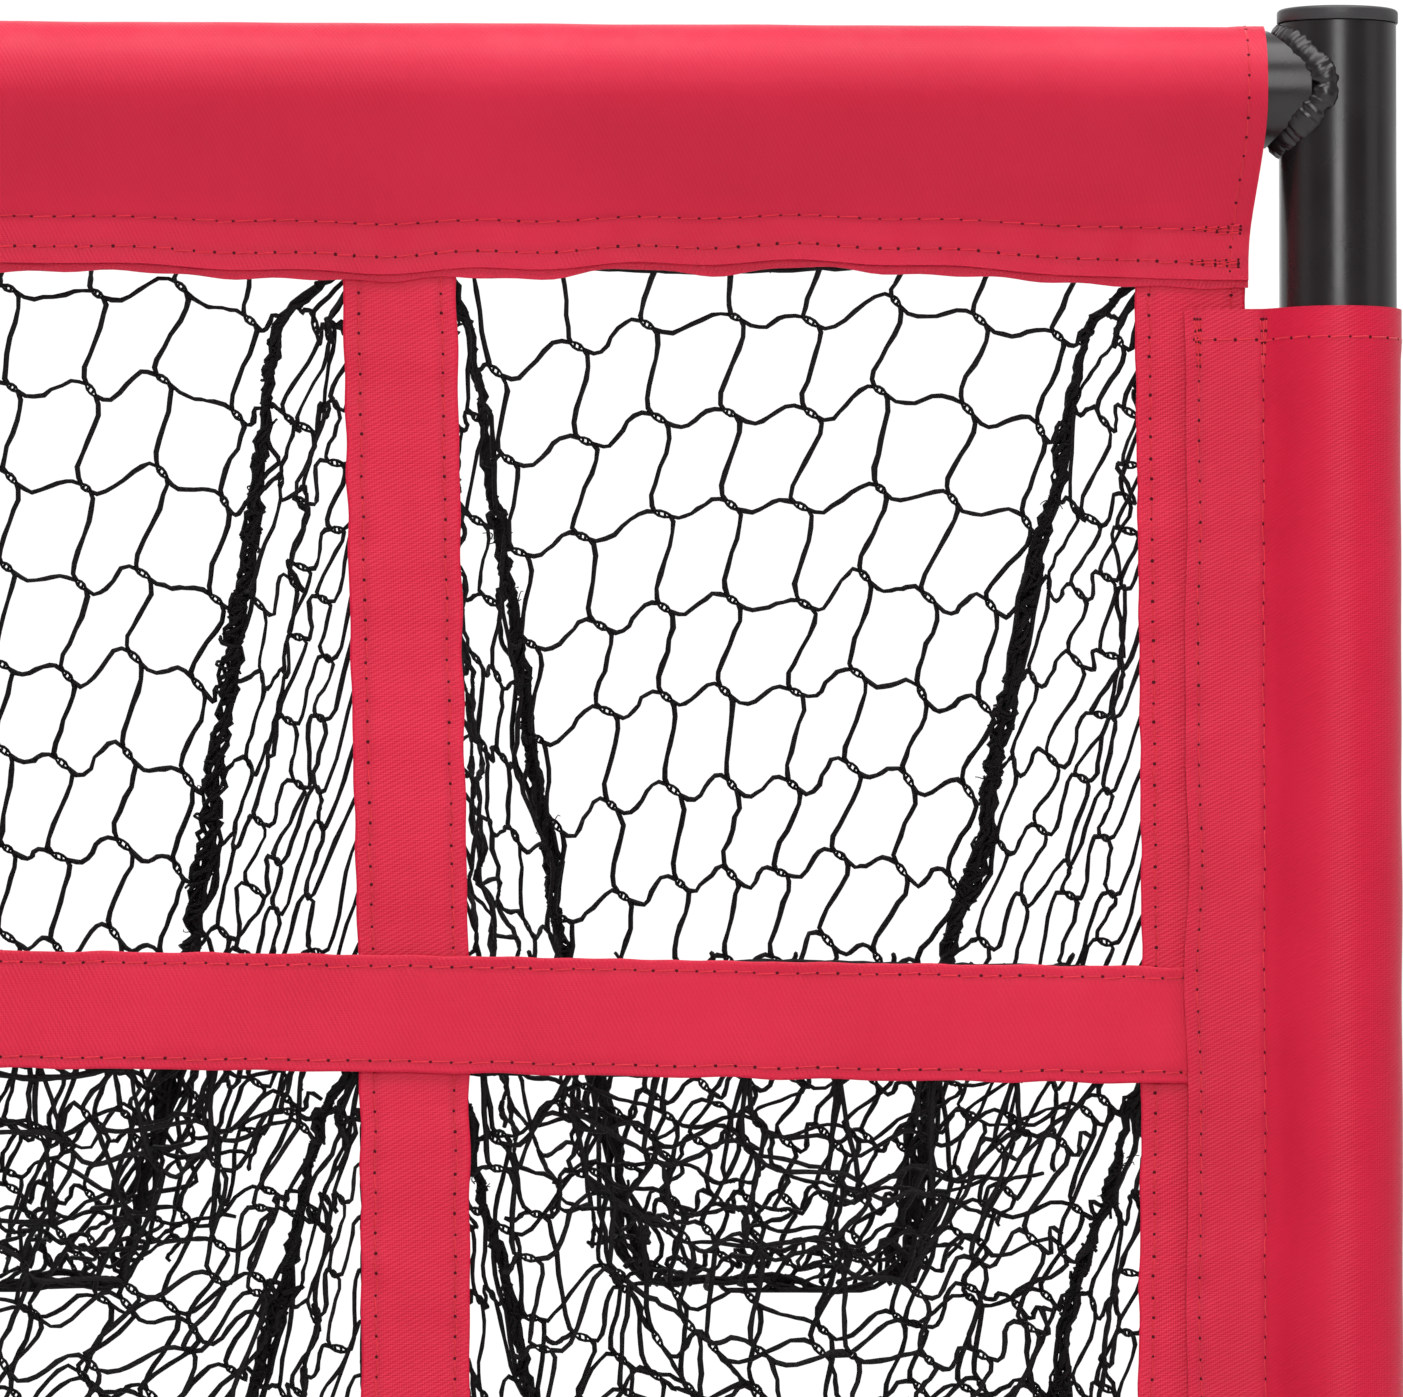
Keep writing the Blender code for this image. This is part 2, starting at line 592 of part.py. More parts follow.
def build():
    """Model the whole target."""
    clear_scene()
    metal = finish_material("black_powder_coat", (0.017, 0.014, 0.015), 0.42)
    plastic = finish_material("black_nylon", (0.055, 0.045, 0.052), 0.5)
    rubber = finish_material("black_rubber", (0.02, 0.02, 0.02), 0.7)
    steel = finish_material("zinc_steel", (0.55, 0.55, 0.53), 0.3, 1.0)
    cloth = finish_material("red_polyester", (0.70, 0.025, 0.065), 0.75)
    twine = finish_material("black_twine", (0.012, 0.010, 0.012), 0.8)
    build_upper_frame(metal, plastic)
    build_lower_frame(metal, steel)
    build_snap_buttons(steel)
    build_feet(metal, plastic, rubber)
    build_fabric(cloth)
    build_net(twine)


build()
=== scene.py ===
"""Looks of a golf chipping target: cloth grid, twine net pockets and a steel tube frame.

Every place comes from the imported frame. Sizes are in metres; -Y is the front, +Z is up.
"""
from __future__ import annotations

import json
import logging
import math
from dataclasses import dataclass, field
from enum import Enum

import bpy
import mathutils
import numpy as np
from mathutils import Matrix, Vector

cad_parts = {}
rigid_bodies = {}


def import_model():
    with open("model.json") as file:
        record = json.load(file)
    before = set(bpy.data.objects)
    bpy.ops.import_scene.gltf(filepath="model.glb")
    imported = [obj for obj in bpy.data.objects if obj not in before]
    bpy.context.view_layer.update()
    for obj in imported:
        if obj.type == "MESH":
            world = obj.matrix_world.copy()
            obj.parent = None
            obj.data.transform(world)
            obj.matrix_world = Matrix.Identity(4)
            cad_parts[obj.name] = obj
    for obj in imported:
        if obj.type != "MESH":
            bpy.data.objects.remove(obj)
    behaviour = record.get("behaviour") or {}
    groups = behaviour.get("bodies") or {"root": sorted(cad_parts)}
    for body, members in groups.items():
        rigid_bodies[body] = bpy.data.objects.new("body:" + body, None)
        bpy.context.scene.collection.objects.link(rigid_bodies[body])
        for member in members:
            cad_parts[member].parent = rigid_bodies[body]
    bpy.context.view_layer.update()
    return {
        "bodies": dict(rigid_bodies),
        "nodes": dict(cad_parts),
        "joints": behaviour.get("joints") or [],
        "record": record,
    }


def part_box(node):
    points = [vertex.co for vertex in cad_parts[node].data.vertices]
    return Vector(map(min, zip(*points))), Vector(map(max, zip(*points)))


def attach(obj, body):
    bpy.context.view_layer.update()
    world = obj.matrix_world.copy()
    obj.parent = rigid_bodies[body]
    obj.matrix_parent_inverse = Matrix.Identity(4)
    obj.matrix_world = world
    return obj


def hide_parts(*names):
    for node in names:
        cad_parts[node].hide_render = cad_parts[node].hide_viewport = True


LOG = logging.getLogger("chipping_target")
Array = np.ndarray
SIDES = (("left", -1), ("right", 1))
COLUMN_NAMES = ("left", "middle", "right")
ROW_NAMES = ("top", "middle", "bottom")


# ---------------------------------------------------------------------------
# Numpy helpers
# ---------------------------------------------------------------------------
def unit(vectors: Array) -> Array:
    """Scale vectors in the last axis to length one."""
    return vectors / np.maximum(np.linalg.norm(vectors, axis=-1, keepdims=True), 1e-12)


def ease(x: Array, low: float, high: float) -> Array:
    """Smooth step from 0 at low to 1 at high."""
    t = np.clip((x - low) / (high - low), 0.0, 1.0)
    return t * t * (3.0 - 2.0 * t)


def ripple(x: Array, wavelength: float, seed: int, terms: int = 4) -> Array:
    """Smooth uneven wave of about -1 to 1: a sum of sines of nearby wavelengths.

    Args:
        x: Distance along the piece.
        wavelength: Typical length of one wave.
        seed: Chooses the phases.
        terms: Number of sines.

    Returns:
        The wave's height at each x.
    """
    rng = np.random.default_rng(seed)
    total = np.zeros_like(x, dtype=float)
    for phase, stretch in zip(rng.uniform(0, 2 * math.pi, terms), rng.uniform(0.55, 1.9, terms)):
        total = total + np.sin(2 * math.pi * x / (wavelength * stretch) + phase)
    return total / math.sqrt(2 * terms)


def swell(u: Array, v: Array, wavelength: float, seed: int, terms: int = 6) -> Array:
    """Smooth uneven field over a sheet: plane waves in random directions, about -1 to 1."""
    rng = np.random.default_rng(seed)
    total = np.zeros(np.broadcast(u, v).shape)
    for _ in range(terms):
        turn, phase = rng.uniform(0, 2 * math.pi, 2)
        length = wavelength * rng.uniform(0.6, 1.7)
        along = np.cos(turn) * u + np.sin(turn) * v
        total = total + np.sin(2 * math.pi * along / length + phase)
    return total / math.sqrt(2 * terms)


def resample(path: Array, step: float) -> Array:
    """Points at equal distances along a polyline."""
    lengths = distances(path)
    count = max(2, int(round(lengths[-1] / step)) + 1)
    at = np.linspace(0.0, lengths[-1], count)
    return np.stack([np.interp(at, lengths, path[:, k]) for k in range(path.shape[1])], 1)


def distances(path: Array) -> Array:
    """Distance travelled along a polyline at each of its points."""
    return np.concatenate([[0.0], np.cumsum(np.linalg.norm(np.diff(path, axis=0), axis=1))])


def soften(path: Array, passes: int) -> Array:
    """Round a polyline's corners by averaging neighbours; its ends stay."""
    for _ in range(passes):
        path = np.concatenate([path[:1], (path[:-2] + 2 * path[1:-1] + path[2:]) / 4, path[-1:]])
    return path


class Draft:
    """Surfaces gathered as arrays before they become one mesh object."""

    def __init__(self) -> None:
        """Start with nothing."""
        self.points: list[Array] = []
        self.faces: list[tuple[Array, Array, int]] = []
        self.tints: list[Array] = []
        self.seams: list[Array] = []
        self.count = 0

    def add_points(self, points: Array, tint: float | Array = 0.5,
                   seam: float | Array = 0.0) -> int:
        """Append vertices with their tint and painted seam shade values and return the first
        index.
        """
        flat = points.reshape(-1, 3)
        first = self.count
        self.points.append(flat)
        self.tints.append(np.broadcast_to(np.asarray(tint, float), points.shape[:-1]).ravel())
        self.seams.append(np.broadcast_to(np.asarray(seam, float), points.shape[:-1]).ravel())
        self.count += len(flat)
        return first

    def add_faces(self, faces: Array, uvs: Array, slot: int = 0) -> None:
        """Append faces of one size, with a UV for each corner."""
        self.faces.append((faces.reshape(-1, faces.shape[-1]),
                           uvs.reshape(-1, faces.shape[-1], 2), slot))

    def grid(self, points: Array, uv: Array, wrap: tuple[bool, bool] = (False, False),
             flip: bool = False, seam: float | Array = 0.0) -> int:
        """Skin a grid of points; its faces look along the row step crossed with the column step.

        Args:
            points: Rows by columns by 3.
            uv: One row or column more than points where that direction wraps.
            wrap: Whether rows and columns close on themselves.
            flip: Turns the faces over.
            seam: Share of painted shade beside the seams carried to the material.

        Returns:
            The index of the grid's first vertex.
        """
        rows, cols = points.shape[:2]
        first = self.add_points(points, seam=seam)
        i, j = np.mgrid[0:rows - (not wrap[0]), 0:cols - (not wrap[1])]
        i2, j2 = (i + 1) % rows, (j + 1) % cols
        quads = first + np.stack([i * cols + j, i2 * cols + j, i2 * cols + j2, i * cols + j2], -1)
        corner = np.stack([uv[i, j], uv[i + 1, j], uv[i + 1, j + 1], uv[i, j + 1]], -2)
        if flip:
            quads, corner = quads[..., ::-1], corner[..., ::-1, :]
        self.add_faces(quads, corner)
        return first

    def shell(self, sheet: Array, uv: Array, thickness: float | Array,
              seam: float | Array) -> None:
        """Give a sheet its thickness: a front and a back, joined at the rim.

        Args:
            sheet: Middle surface, rows by columns by 3, facing its row step crossed with its
                column step.
            uv: Flat place of each point, in metres.
            thickness: One value or one for each point.
            seam: Painted seam shade, one value or a field.
        """
        rows, cols = sheet.shape[:2]
        normal = unit(np.cross(np.gradient(sheet, axis=0), np.gradient(sheet, axis=1)))
        half = np.broadcast_to(np.asarray(thickness, float) / 2, (rows, cols))[..., None]
        both = np.concatenate([sheet + half * normal, (sheet - half * normal)[:, ::-1]], 1)
        pucker = np.broadcast_to(np.asarray(seam, float), (rows, cols))
        ring_uv = np.concatenate([uv, uv[:, ::-1], uv[:, :1]], 1)
        first = self.grid(both, ring_uv, wrap=(False, True),
                          seam=np.concatenate([pucker, pucker[:, ::-1]], 1))
        j = np.arange(cols - 1)
        for row, order in ((0, 1), (rows - 1, -1)):
            base = first + row * 2 * cols
            quads = base + np.stack([j, j + 1, 2 * cols - 2 - j, 2 * cols - 1 - j], -1)
            corner = np.stack([uv[row, j], uv[row, j + 1], uv[row, j + 1], uv[row, j]], -2)
            self.add_faces(quads[:, ::order], corner[:, ::order])

    def tubes(self, paths: Array, across: Array, radius: float | Array, sides: int,
              slot: int = 0, tint: float | Array = 0.5) -> None:
        """Carry a round section along many paths at once, each closed by end fans.

        Args:
            paths: Strands by stations by 3.
            across: One direction for each strand that its path never runs along.
            radius: One value, or strands by stations.
            sides: Sides of the section.
            slot: Material index.
            tint: One value for each strand.
        """
        count, stations = paths.shape[:2]
        along = unit(np.gradient(paths, axis=1))
        b = unit(np.cross(along, np.broadcast_to(across, (count, 3))[:, None, :]))
        c = np.cross(b, along)
        turn = np.arange(sides) * (2 * math.pi / sides)
        size = np.broadcast_to(np.asarray(radius, float), (count, stations))[..., None, None]
        rings = paths[:, :, None] + size * (np.cos(turn)[:, None] * b[:, :, None]
                                            + np.sin(turn)[:, None] * c[:, :, None])
        shade = np.broadcast_to(np.asarray(tint, float), (count,))
        first = self.add_points(rings, shade[:, None, None])
        run = np.concatenate([np.zeros((count, 1)), np.cumsum(
            np.linalg.norm(np.diff(paths, axis=1), axis=2), 1)], 1)
        k, i, j = np.mgrid[0:count, 0:stations - 1, 0:sides]
        j2 = (j + 1) % sides
        base = first + (k * stations + i) * sides
        quads = np.stack([base + j, base + sides + j, base + sides + j2, base + j2], -1)
        u0, u1 = j / sides, (j + 1) / sides
        v0, v1 = run[k, i], run[k, i + 1]
        corner = np.stack([np.stack(p, -1) for p in ((u0, v0), (u0, v1), (u1, v1), (u1, v0))], -2)
        self.add_faces(quads, corner, slot)
        k, j = np.mgrid[0:count, 0:sides]
        j2 = (j + 1) % sides
        for station, order in ((0, 1), (stations - 1, -1)):
            centre = self.add_points(paths[:, station], shade)
            ring = first + (k * stations + station) * sides
            fans = np.stack([centre + k, ring + j, ring + j2], -1)[..., ::order]
            at = run[k, station]
            flat = np.stack([np.stack([j / sides, at], -1)] * 3, -2)
            self.add_faces(fans, flat, slot)

    def turned(self, profile: Array, sides: int, origin: Array, axes: Array,
               lobes: Array | None = None) -> None:
        """Turn a profile about an axis; a profile whose ends have radius 0 is closed by fans,
        and any other closes on itself.

        Args:
            profile: Points of (radius, height), with the outside on the left of its direction.
            sides: Steps round.
            origin: Where height 0 lies on the axis.
            axes: Rows are the local x, y and z directions.
            lobes: Factor on the radius, stations by sides.
        """
        radius, height = profile[:, 0], profile[:, 1]
        poled = radius[0] < 1e-9
        ring_r, ring_h = (radius[1:-1], height[1:-1]) if poled else (radius, height)
        turn = np.arange(sides) * (2 * math.pi / sides)
        scale = ring_r[:, None] * (1.0 if lobes is None else lobes)
        points = (origin + (scale * np.cos(turn))[..., None] * axes[0]
                  + (scale * np.sin(turn))[..., None] * axes[1]
                  + (ring_h[:, None] + 0 * turn)[..., None] * axes[2])
        run = distances(profile)
        girth = 2 * math.pi * max(float(radius.max()), 1e-6)
        around = np.arange(sides + 1) / sides * girth
        along = run[1:-1] if poled else np.append(run, run[-1])
        uv = np.stack(np.meshgrid(around, along), -1)
        first = self.grid(points, uv, wrap=(not poled, True), flip=True)
        if not poled:
            return
        j = np.arange(sides)
        j2 = (j + 1) % sides
        last = first + (len(ring_r) - 1) * sides
        for pole, ring, order in ((0, first, -1), (len(profile) - 1, last, 1)):
            centre = self.add_points(origin[None] + height[pole] * axes[2][None])
            fans = np.stack([np.full(sides, centre), ring + j, ring + j2], -1)[:, ::order]
            flat = np.stack([np.stack([around[:-1], np.full(sides, run[pole])], -1)] * 3, -2)
            self.add_faces(fans, flat)

    def build(self, name: str, materials: list[bpy.types.Material],
              sharp: float = 50.0) -> bpy.types.Object:
        """Make the mesh object, smooth up to an angle between faces.

        Args:
            name: Object name.
            materials: One for each slot used.
            sharp: Angle in degrees beyond which an edge stays sharp.

        Returns:
            The new object, at the origin.
        """
        mesh = bpy.data.meshes.new(name)
        points = np.concatenate(self.points)
        mesh.vertices.add(len(points))
        mesh.vertices.foreach_set("co", points.astype(np.float32).ravel())
        sizes = np.concatenate([np.full(len(f), f.shape[1]) for f, _, _ in self.faces])
        mesh.loops.add(int(sizes.sum()))
        mesh.loops.foreach_set("vertex_index", np.concatenate(
            [f.ravel() for f, _, _ in self.faces]).astype(np.int32))
        mesh.polygons.add(len(sizes))
        mesh.polygons.foreach_set("loop_start", (np.cumsum(sizes) - sizes).astype(np.int32))
        slots = np.concatenate([np.full(len(f), s) for f, _, s in self.faces])
        mesh.polygons.foreach_set("material_index", slots.astype(np.int32))
        layer = mesh.uv_layers.new(name="UVMap")
        layer.uv.foreach_set("vector", np.concatenate(
            [c.ravel() for _, c, _ in self.faces]).astype(np.float32))
        # tint is each strand's random tone; seam is painted shade beside the seams.
        for key, values in (("tint", self.tints), ("seam", self.seams)):
            attribute = mesh.attributes.new(key, "FLOAT", "POINT")
            attribute.data.foreach_set("value", np.concatenate(values).astype(np.float32))
        for material in materials:
            mesh.materials.append(material)
        mesh.update(calc_edges=True)
        mesh.validate()
        mesh.shade_smooth()
        mesh.set_sharp_from_angle(angle=math.radians(sharp))
        made = bpy.data.objects.new(name, mesh)
        bpy.context.scene.collection.objects.link(made)
        return made


# ---------------------------------------------------------------------------
# Finishes
# ---------------------------------------------------------------------------
Socket = bpy.types.NodeSocket
Colour = tuple[float, float, float]


class Tree:
    """Places and links shader nodes in one tree."""

    def __init__(self, tree: bpy.types.NodeTree) -> None:
        """Start from an empty tree."""
        self.tree = tree
        tree.nodes.clear()

    def put(self, kind: str, inputs: dict | None = None, **settings: object) -> bpy.types.Node:
        """Add a node, set its properties and fill or link its inputs."""
        node = self.tree.nodes.new("ShaderNode" + kind)
        for key, value in settings.items():
            setattr(node, key, value)
        for key, value in (inputs or {}).items():
            if isinstance(value, Socket):
                self.tree.links.new(value, node.inputs[key])
            else:
                node.inputs[key].default_value = value
        return node

    def feed(self, node: bpy.types.Node, values: dict[str, Socket]) -> None:
        """Link values to a node's inputs by name."""
        for socket, value in values.items():
            self.tree.links.new(value, node.inputs[socket])

    def math(self, operation: str, *values: float | Socket, clamp: bool = False) -> Socket:
        """Add a Math node and return its result."""
        return self.put("Math", dict(enumerate(values)), operation=operation,
                        use_clamp=clamp).outputs[0]

    def mix(self, share: float | Socket, a: Colour | Socket, b: Colour | Socket) -> Socket:
        """Blend two colours and return the result."""
        full = [c if isinstance(c, Socket) else (*c, 1.0) for c in (a, b)]
        return self.put("Mix", {0: share, 6: full[0], 7: full[1]}, data_type="RGBA").outputs[2]

    def noise(self, where: Socket, scale: float | Socket, detail: float = 2.0,
              rough: float = 0.5) -> Socket:
        """Add a noise texture and return its value."""
        return self.put("TexNoise", {"Vector": where, "Scale": scale, "Detail": detail,
                                     "Roughness": rough}).outputs["Fac"]

    def span(self, value: Socket, low: float, high: float, to_low: float | Socket = 0.0,
             to_high: float | Socket = 1.0) -> Socket:
        """Map a range to another, clamped."""
        return self.put("MapRange", {"Value": value, "From Min": low, "From Max": high,
                                     "To Min": to_low, "To Max": to_high}).outputs[0]


def new_group(name: str, inputs: tuple[tuple[str, str, float], ...],
              outputs: tuple[str, ...]) -> tuple[Tree, bpy.types.Node, bpy.types.Node]:
    """Start a shader node group.

    Args:
        name: Group name.
        inputs: Name, Vector or Float, and default of each input.
        outputs: Names of the float outputs.

    Returns:
        The tree helper and the group's input and output nodes.
    """
    data = bpy.data.node_groups.new(name, "ShaderNodeTree")
    tree = Tree(data)
    for label, kind, default in inputs:
        made = data.interface.new_socket(label, in_out="INPUT", socket_type="NodeSocket" + kind)
        if kind == "Float":
            made.default_value = default
    for label in outputs:
        data.interface.new_socket(label, in_out="OUTPUT", socket_type="NodeSocketFloat")
    return tree, data.nodes.new("NodeGroupInput"), data.nodes.new("NodeGroupOutput")


class Groups:
    """Shared shader effects, each built once."""

    def __init__(self) -> None:
        """Build every group."""
        self.weave = self._weave()
        self.grain = self._grain()
        self.settled = self._settled()
        self.twist = self._twist()

    @staticmethod
    def _weave() -> bpy.types.NodeTree:
        """Twill: crossing threads whose floats step one thread each pick, with uneven yarns."""
        tree, start, end = new_group("woven_threads", (
            ("Vector", "Vector", 0.0), ("Threads per metre", "Float", 2200.0),
            ("Slub", "Float", 0.3)), ("Height", "Shade"))
        flat, count = start.outputs["Vector"], start.outputs["Threads per metre"]
        stretch = tree.put("CombineXYZ", {0: count, 1: count, 2: count}).outputs[0]
        scaled = tree.put("VectorMath", {0: flat, 1: stretch}, operation="MULTIPLY").outputs[0]
        parts = tree.put("SeparateXYZ", {0: scaled})
        warp, weft = parts.outputs[0], parts.outputs[1]
        turn = 2 * math.pi
        diagonal = tree.math("SINE", tree.math("MULTIPLY", tree.math(
            "ADD", warp, tree.math("MULTIPLY", weft, 0.5)), turn * 0.5))
        picks = tree.math("SINE", tree.math("MULTIPLY", weft, turn))
        ends = tree.math("SINE", tree.math("MULTIPLY", warp, turn))
        crossing = tree.math("ADD", tree.math("MULTIPLY", diagonal, 0.55), tree.math(
            "MULTIPLY", tree.math("ADD", picks, ends), 0.22))
        threads = tree.put("Mapping", {"Vector": scaled, "Scale": (0.02, 1.0, 1.0)}).outputs[0]
        yarns = tree.put("Mapping", {"Vector": scaled, "Scale": (1.0, 0.02, 1.0)}).outputs[0]
        uneven = tree.math("ADD", tree.noise(threads, 0.6), tree.noise(yarns, 0.6))
        slub = tree.math("MULTIPLY", tree.math("SUBTRACT", uneven, 1.0), start.outputs["Slub"])
        height = tree.math("ADD", tree.math("MULTIPLY", crossing, 0.5), slub)
        # Shade is painted shade: low places of the weave get the darker colour, together with the
        # yarns' uneven tone.
        shade = tree.math("ADD", tree.math("MULTIPLY", height, 0.5), 0.5, clamp=True)
        tree.feed(end, {"Height": height, "Shade": shade})
        return tree.tree

    @staticmethod
    def _grain() -> bpy.types.NodeTree:
        """Fine lumps of a sprayed or moulded skin, with broad uneven gloss."""
        tree, start, end = new_group("fine_grain", (
            ("Vector", "Vector", 0.0), ("Scale", "Float", 900.0)), ("Height", "Gloss"))
        where, scale = start.outputs["Vector"], start.outputs["Scale"]
        lumps = tree.noise(where, scale, 3.0, 0.55)
        coarse = tree.noise(where, tree.math("MULTIPLY", scale, 0.22), 2.0)
        height = tree.math("ADD", tree.math("MULTIPLY", lumps, 0.65),
                           tree.math("MULTIPLY", coarse, 0.35))
        tree.feed(end, {"Height": height, "Gloss": tree.noise(where, 38.0, 4.0, 0.6)})
        return tree.tree

    @staticmethod
    def _settled() -> bpy.types.NodeTree:
        """Dust on faces that look up and scuffs in short streaks, as two masks."""
        tree, start, end = new_group("dust_and_scuffs", (
            ("Vector", "Vector", 0.0), ("Dust", "Float", 0.3), ("Scuffs", "Float", 0.3)),
            ("Dust", "Scuffs"))
        where = start.outputs["Vector"]
        up = tree.put("SeparateXYZ", {0: tree.put("NewGeometry").outputs["Normal"]}).outputs[2]
        patches = tree.span(tree.noise(where, 60.0, 5.0, 0.65), 0.42, 0.75)
        dust = tree.math("MULTIPLY", tree.math("MULTIPLY", tree.span(up, 0.1, 1.0), patches),
                         start.outputs["Dust"])
        streaks = tree.put("Mapping", {"Vector": where, "Scale": (1.0, 1.0, 0.16),
                                       "Rotation": (0.5, 0.3, 0.2)}).outputs[0]
        marks = tree.span(tree.noise(streaks, 420.0, 4.0, 0.6), 0.66, 0.74)
        rare = tree.span(tree.noise(where, 26.0, 2.0), 0.52, 0.66)
        scuffs = tree.math("MULTIPLY", tree.math("MULTIPLY", marks, rare),
                           start.outputs["Scuffs"])
        tree.feed(end, {"Dust": dust, "Scuffs": scuffs})
        return tree.tree

    @staticmethod
    def _twist() -> bpy.types.NodeTree:
        """Loops of a knitted or twisted thread: slanting ridges along its length."""
        tree, start, end = new_group("twisted_thread", (
            ("Vector", "Vector", 0.0), ("Turns per metre", "Float", 900.0)), ("Height",))
        parts = tree.put("SeparateXYZ", {0: start.outputs["Vector"]})
        slant = tree.math("ADD", tree.math("MULTIPLY", parts.outputs[0], 2.0), tree.math(
            "MULTIPLY", parts.outputs[1], start.outputs["Turns per metre"]))
        ridges = tree.math("ABSOLUTE", tree.math("SINE", tree.math("MULTIPLY", slant, math.pi)))
        tree.feed(end, {"Height": ridges})
        return tree.tree


def principled(name: str, fixed: dict[str, object]) -> tuple[Tree, bpy.types.Material, Socket,
                                                             bpy.types.Node]:
    """Start a material with a Principled shader.

    Args:
        name: Material name.
        fixed: Socket values that are the same all over.

    Returns:
        The tree helper, the material, the object coordinates and the shader node.
    """
    material = bpy.data.materials.new(name)
    material.use_nodes = True
    tree = Tree(material.node_tree)
    shader = tree.put("BsdfPrincipled", fixed)
    out = tree.put("OutputMaterial")
    tree.feed(out, {"Surface": shader.outputs[0]})
    return tree, material, tree.put("TexCoord").outputs["Object"], shader


@dataclass(frozen=True)
class HardFinish:
    """A coated, moulded, rubber or metal skin."""

    name: str
    colour: Colour
    roughness: float
    metallic: float = 0.0
    specular: float = 0.5
    grain_scale: float = 900.0
    grain_height: float = 0.00004
    dust: float = 0.12
    scuffs: float = 0.25

    def make(self, groups: Groups) -> bpy.types.Material:
        """Build the material: base colour with dust and scuffs, uneven gloss, grain bump."""
        tree, material, where, shader = principled(self.name,
                                                   {"Specular IOR Level": self.specular})
        grain = tree.put("Group", {"Vector": where, "Scale": self.grain_scale},
                         node_tree=groups.grain)
        settled = tree.put("Group", {"Vector": where, "Dust": self.dust,
                                     "Scuffs": self.scuffs}, node_tree=groups.settled)
        lighter = tuple(min(1.0, c * 1.35 + 0.004) for c in self.colour)
        base = tree.mix(grain.outputs["Gloss"], self.colour, lighter)
        base = tree.mix(settled.outputs["Scuffs"], base, tuple(0.45 * c + 0.12
                                                                for c in self.colour))
        base = tree.mix(settled.outputs["Dust"], base, (0.34, 0.32, 0.30))
        rough = tree.math("ADD", tree.span(grain.outputs["Gloss"], 0.3, 0.7,
                                           self.roughness - 0.05, self.roughness + 0.05),
                          tree.math("MULTIPLY", settled.outputs["Dust"], 0.4), clamp=True)
        bump = tree.put("Bump", {"Height": grain.outputs["Height"], "Distance":
                                 self.grain_height, "Strength": 1.0})
        if self.metallic:
            metal = tree.math("MULTIPLY", tree.math("SUBTRACT", 1.0, settled.outputs["Dust"]),
                              self.metallic)
            tree.feed(shader, {"Metallic": metal})
        tree.feed(shader, {"Base Color": base, "Roughness": rough, "Normal": bump.outputs[0]})
        return material


@dataclass(frozen=True)
class ClothFinish:
    """Dyed woven polyester with a soft satin gloss."""

    name: str
    colour: Colour
    worn: Colour
    roughness: float = 0.44
    specular: float = 0.25
    threads: float = 2200.0
    weave_height: float = 0.00007
    sheen: float = 0.05
    dust: float = 0.05

    def make(self, groups: Groups) -> bpy.types.Material:
        """Build the material: threads in colour and bump, painted shade in the weave's hollows
        and beside the seams, faint dust.
        """
        tree, material, where, shader = principled(self.name, {
            "Specular IOR Level": self.specular, "Sheen Weight": self.sheen,
            "Sheen Roughness": 0.45, "Sheen Tint": (1.0, 0.45, 0.52, 1.0)})
        flat = tree.put("UVMap", uv_map="UVMap").outputs[0]
        weave = tree.put("Group", {"Vector": flat, "Threads per metre": self.threads},
                         node_tree=groups.weave)
        settled = tree.put("Group", {"Vector": where, "Dust": self.dust, "Scuffs": 0.0},
                           node_tree=groups.settled)
        # Painted shade: the weave's hollows take this darker red.
        dark = tuple(c * 0.80 for c in self.colour)
        base = tree.mix(weave.outputs["Shade"], dark, self.colour)
        broad = tree.span(tree.noise(where, 24.0, 3.0), 0.35, 0.7, 0.0, 0.55)
        base = tree.mix(broad, base, self.worn)
        # Painted shade: the cloth darkens along the seams and the end-hem folds.
        seam = tree.put("Attribute", attribute_name="seam").outputs["Fac"]
        base = tree.mix(tree.math("MULTIPLY", seam, 0.30), base, tuple(0.55 * c
                                                                       for c in self.colour))
        base = tree.mix(settled.outputs["Dust"], base, (0.75, 0.55, 0.55))
        rough = tree.span(weave.outputs["Shade"], 0.0, 1.0, self.roughness + 0.08,
                          self.roughness - 0.05)
        creases = tree.noise(where, 130.0, 3.0, 0.55)
        relief = tree.math("ADD", weave.outputs["Height"], tree.math("MULTIPLY", creases, 1.4))
        bump = tree.put("Bump", {"Height": relief, "Distance": self.weave_height,
                                 "Strength": 1.0})
        tree.feed(shader, {"Base Color": base, "Roughness": rough, "Normal": bump.outputs[0]})
        return material


@dataclass(frozen=True)
class ThreadFinish:
    """Twine or sewing thread, with twisted ridges along it and a shade for each strand."""

    name: str
    dark: Colour
    light: Colour
    turns: float
    ridge: float
    roughness: float = 0.62
    sheen: float = 0.25

    def make(self, groups: Groups) -> bpy.types.Material:
        """Build the material: painted shade darkens the valleys between ridges, tint picks each
        strand's shade.
        """
        tree, material, where, shader = principled(self.name, {
            "Specular IOR Level": 0.22, "Sheen Weight": self.sheen, "Sheen Roughness": 0.5})
        flat = tree.put("UVMap", uv_map="UVMap").outputs[0]
        twist = tree.put("Group", {"Vector": flat, "Turns per metre": self.turns},
                         node_tree=groups.twist)
        tint = tree.put("Attribute", attribute_name="tint").outputs["Fac"]
        # Painted shade: valleys between the twist's ridges lean to the dark colour; tint adds
        # each strand's own tone.
        share = tree.math("MULTIPLY", tree.math("ADD", tint, twist.outputs["Height"]), 0.5)
        base = tree.mix(share, self.dark, self.light)
        fuzz = tree.noise(where, 2600.0, 2.0)
        height = tree.math("ADD", twist.outputs["Height"], tree.math("MULTIPLY", fuzz, 0.8))
        bump = tree.put("Bump", {"Height": height, "Distance": self.ridge, "Strength": 1.0})
        rough = tree.span(fuzz, 0.3, 0.7, self.roughness - 0.08, self.roughness + 0.08)
        tree.feed(shader, {"Base Color": base, "Roughness": rough, "Normal": bump.outputs[0]})
        return material


